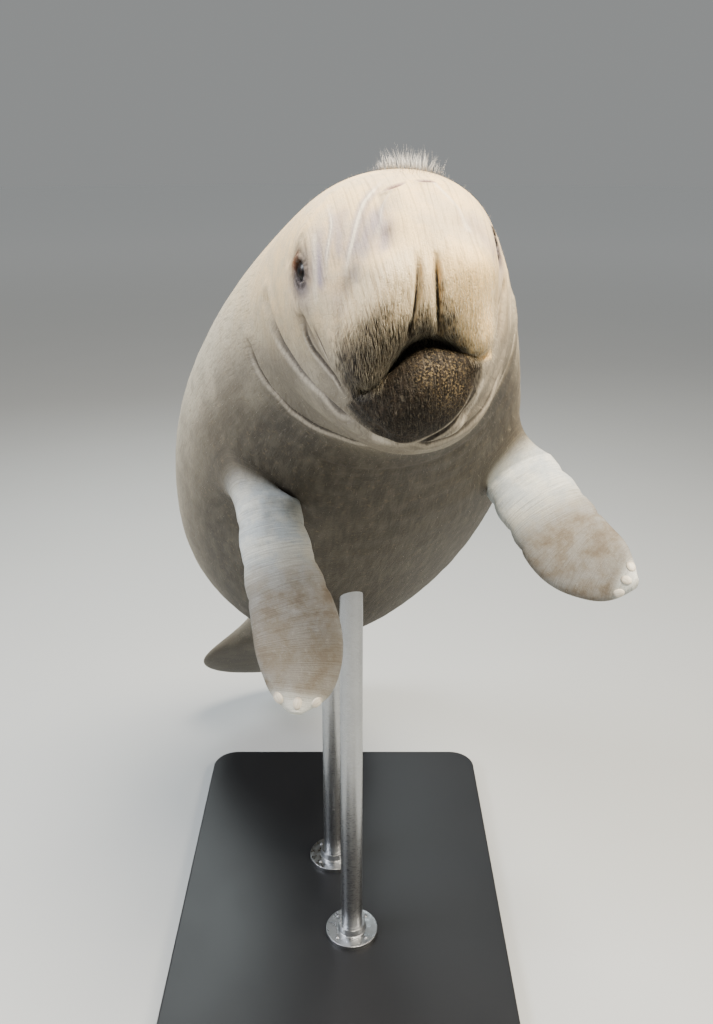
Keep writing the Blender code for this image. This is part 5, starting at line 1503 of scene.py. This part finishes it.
# drawn steel, brushed round its length
def steelMaterial():
    material, tree, shader = newMaterial("brushedSteel", Metallic=1.0, Roughness=0.30)
    where = addNode(tree, "ShaderNodeTexCoord").outputs["Object"]
    lines = addNode(tree, "ShaderNodeMapping", {"Vector": where, "Scale": (90.0, 90.0, 2600.0)}).outputs[0]
    brushed = addNode(tree, "ShaderNodeTexNoise", {"Vector": lines, "Scale": 1.0, "Detail": 2.0}).outputs[0]
    clouds = noise(tree, where, 60.0, 3.0)
    colour = mixed(tree, between(tree, clouds, 0.30, 0.70, 0.0, 0.4), linear(stand["steel"]), linear("#9a9c9f"))
    tree.links.new(colour, shader.inputs["Base Color"])
    tree.links.new(between(tree, brushed, 0.3, 0.7, 0.24, 0.42), shader.inputs["Roughness"])
    tree.links.new(bump(tree, brushed, 0.00003, 0.4), shader.inputs["Normal"])
    return material


# ring of button-head screws round an upright line, set out by the tree
def screwTree(material):
    tree = bpy.data.node_groups.new("screwRing", "GeometryNodeTree")
    face = tree.interface
    face.new_socket("Screw", in_out="INPUT", socket_type="NodeSocketGeometry")
    face.new_socket("Count", in_out="INPUT", socket_type="NodeSocketInt")
    face.new_socket("RingRadius", in_out="INPUT", socket_type="NodeSocketFloat")
    face.new_socket("Middle", in_out="INPUT", socket_type="NodeSocketVector")
    face.new_socket("Screws", in_out="OUTPUT", socket_type="NodeSocketGeometry")
    given = addNode(tree, "NodeGroupInput").outputs
    circle = addNode(tree, "GeometryNodeMeshCircle", {"Vertices": given["Count"], "Radius": given["RingRadius"]}).outputs[0]
    around = addNode(tree, "FunctionNodeEulerToRotation", {0: (0.0, 0.0, math.radians(45))}).outputs[0]
    circle = addNode(tree, "GeometryNodeTransform", {"Geometry": circle, "Rotation": around,
                                                     "Translation": given["Middle"]}).outputs[0]
    spin = addNode(tree, "FunctionNodeRandomValue", {2: 0.0, 3: 6.283, "Seed": 4}).outputs[1]
    turn = addNode(tree, "ShaderNodeCombineXYZ", {"Z": spin}).outputs[0]
    turn = addNode(tree, "FunctionNodeEulerToRotation", {0: turn}).outputs[0]
    made = addNode(tree, "GeometryNodeInstanceOnPoints", {"Points": circle, "Instance": given["Screw"],
                                                         "Rotation": turn}).outputs[0]
    made = addNode(tree, "GeometryNodeRealizeInstances", {"Geometry": made}).outputs[0]
    made = addNode(tree, "GeometryNodeSetMaterial", {"Geometry": made, "Material": material}).outputs[0]
    addNode(tree, "NodeGroupOutput", {"Screws": made})
    return tree


# button head with a six-sided socket
def screwMesh(name, around=48):
    radius, height = stand["screwRadius"], stand["screwHeight"]
    maker = Maker()
    turn = np.arange(around) / around * 2 * math.pi
    # the socket's edge: how far a six-sided hole reaches at each angle
    hexagon = 0.42 * radius * math.cos(math.pi / 6) / np.cos((turn + math.pi / 6) % (math.pi / 3) - math.pi / 6)
    ones = np.ones(around)
    profile = [(radius * ones, 0.0)]
    profile += [(radius * math.cos(a) * ones, height * (0.25 + 0.75 * math.sin(a))) for a in np.radians((0, 15, 30, 45, 58))]
    profile += [(hexagon + 0.0001, height), (hexagon, height - 0.0001), (hexagon, height * 0.35)]
    rings = [maker.add(np.stack([r * np.cos(turn), r * np.sin(turn), h * ones], axis=1)) for r, h in profile]
    for k, (a, b) in enumerate(zip(rings[:-1], rings[1:])):
        maker.strip(a, b, (0, 1), (k / len(rings), (k + 1) / len(rings)))
    maker.cap(rings[0])
    maker.cap(rings[-1], v=1.0)
    data = tidyMesh(maker.mesh(name))
    data.set_sharp_from_angle(angle=math.radians(40))
    return data


brushedSteel, satinLacquer = steelMaterial(), lacquerMaterial()
data = baseMesh("base")
data.materials.append(satinLacquer)
addPiece("stand_plate", data, "base", "stand_base")
rings = screwTree(brushedSteel)
for name, s in stand["rods"].items():
    middle = posed(np.array([0, s, -0.10]))
    low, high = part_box("stand_rod_" + name)
    radius = stand["rodRadius"]
    data = turnedMesh("rod", middle, [(radius - 0.0004, low.z), (radius, low.z, 0.0003), (radius, high.z + stand["rodInto"], 0.0003),
                                      (radius - 0.0004, high.z + stand["rodInto"])], stand["around"])
    data.materials.append(brushedSteel)
    addPiece("stand_tube_" + name, data, "steel", "stand_rod_" + name)
    low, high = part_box("stand_flange_" + name)
    wide, collar, top = stand["flangeRadius"], stand["collarRadius"], high.z + stand["collarHeight"]
    data = turnedMesh("flange", middle, [
        (radius + 0.0003, low.z), (wide, low.z, 0.0004), (wide, high.z, 0.0018), (collar, high.z, 0.0030),
        (collar, top, 0.0016), (radius + 0.0003, top)], stand["around"])
    data.materials.append(brushedSteel)
    addPiece("stand_foot_" + name, data, "steel", "stand_flange_" + name)
    data = grow("screws", screwMesh("screw"), rings, {
        "Count": stand["screws"], "RingRadius": stand["screwRing"], "Middle": (middle[0], middle[1], high.z - 0.0002)})
    addPiece("stand_screws_" + name, data, "steel")
print("stand made")

camera = {"at": (0.0346, -1.6321, 1.6278), "down": 22.0, "lens": 33.398}
lamps = [
    # name, place, aimed at, size, watts, colour
    ("topLamp", (0.7, -1.1, 3.7), (0.08, -0.45, 1.35), 1.3, 262.0, "#fff3e0"),
    ("rightTopLamp", (2.2, -0.7, 2.9), (0.1, -0.4, 1.2), 1.4, 84.0, "#fff1dc"),
    ("leftTopLamp", (-2.3, -0.6, 2.8), (0.0, -0.2, 1.15), 1.4, 112.0, "#f4f7ff"),
    ("backLamp", (-0.6, 2.6, 2.8), (0.1, 0.2, 1.0), 2.0, 60.0, "#eaf4f4"),
]


def aimed(place, target):
    return (Vector(target) - Vector(place)).to_track_quat("-Z", "Y").to_euler()


def makeStudio():
    cameraData = bpy.data.cameras.new("photoCamera")
    cameraData.sensor_width = 36.0
    cameraData.lens = camera["lens"]
    cameraData.clip_start, cameraData.clip_end = 0.05, 100
    thing = bpy.data.objects.new("photoCamera", cameraData)
    thing.location = camera["at"]
    thing.rotation_euler = (math.radians(90 - camera["down"]), 0, 0)
    bpy.context.scene.collection.objects.link(thing)
    bpy.context.scene.camera = thing
    for name, place, target, size, watts, colour in lamps:
        lampData = bpy.data.lights.new(name, "AREA")
        lampData.shape = "DISK"
        lampData.size = size
        lampData.energy = watts
        lampData.color = linear(colour)[:3]
        lamp = bpy.data.objects.new(name, lampData)
        lamp.location = place
        lamp.rotation_euler = aimed(place, target)
        bpy.context.scene.collection.objects.link(lamp)
    world = bpy.data.worlds.new("paleRoom")
    world.use_nodes = True
    world.node_tree.nodes["Background"].inputs["Color"].default_value = linear("#edf0f0")
    world.node_tree.nodes["Background"].inputs["Strength"].default_value = 0.33
    bpy.context.scene.world = world
    maker = Maker()
    turn = np.arange(96) / 96 * 2 * math.pi
    loops = [maker.add(np.stack([r * np.cos(turn), r * np.sin(turn), np.full(96, -0.0005)], axis=1)) for r in (2, 30)]
    maker.strip(loops[0], loops[1])
    maker.cap(loops[0])
    data = tidyMesh(maker.mesh("studioFloor"))
    material, tree, shader = newMaterial("matteFloor", Roughness=0.9)
    # paler with the distance, so that the floor runs into the room with no edge
    where = addNode(tree, "ShaderNodeTexCoord").outputs["Object"]
    away = addNode(tree, "ShaderNodeVectorMath", {0: where}, operation="LENGTH").outputs["Value"]
    near = mixed(tree, noise(tree, where, 900.0, 2.0), linear("#bcbfbf"), linear("#c3c6c6"))
    tone = mixed(tree, between(tree, away, 2.0, 14.0), near, linear("#fdfefe"))
    tree.links.new(tone, shader.inputs["Base Color"])
    data.materials.append(material)
    floor = bpy.data.objects.new("studioFloor", data)
    bpy.context.scene.collection.objects.link(floor)


makeStudio()
print("studio made")
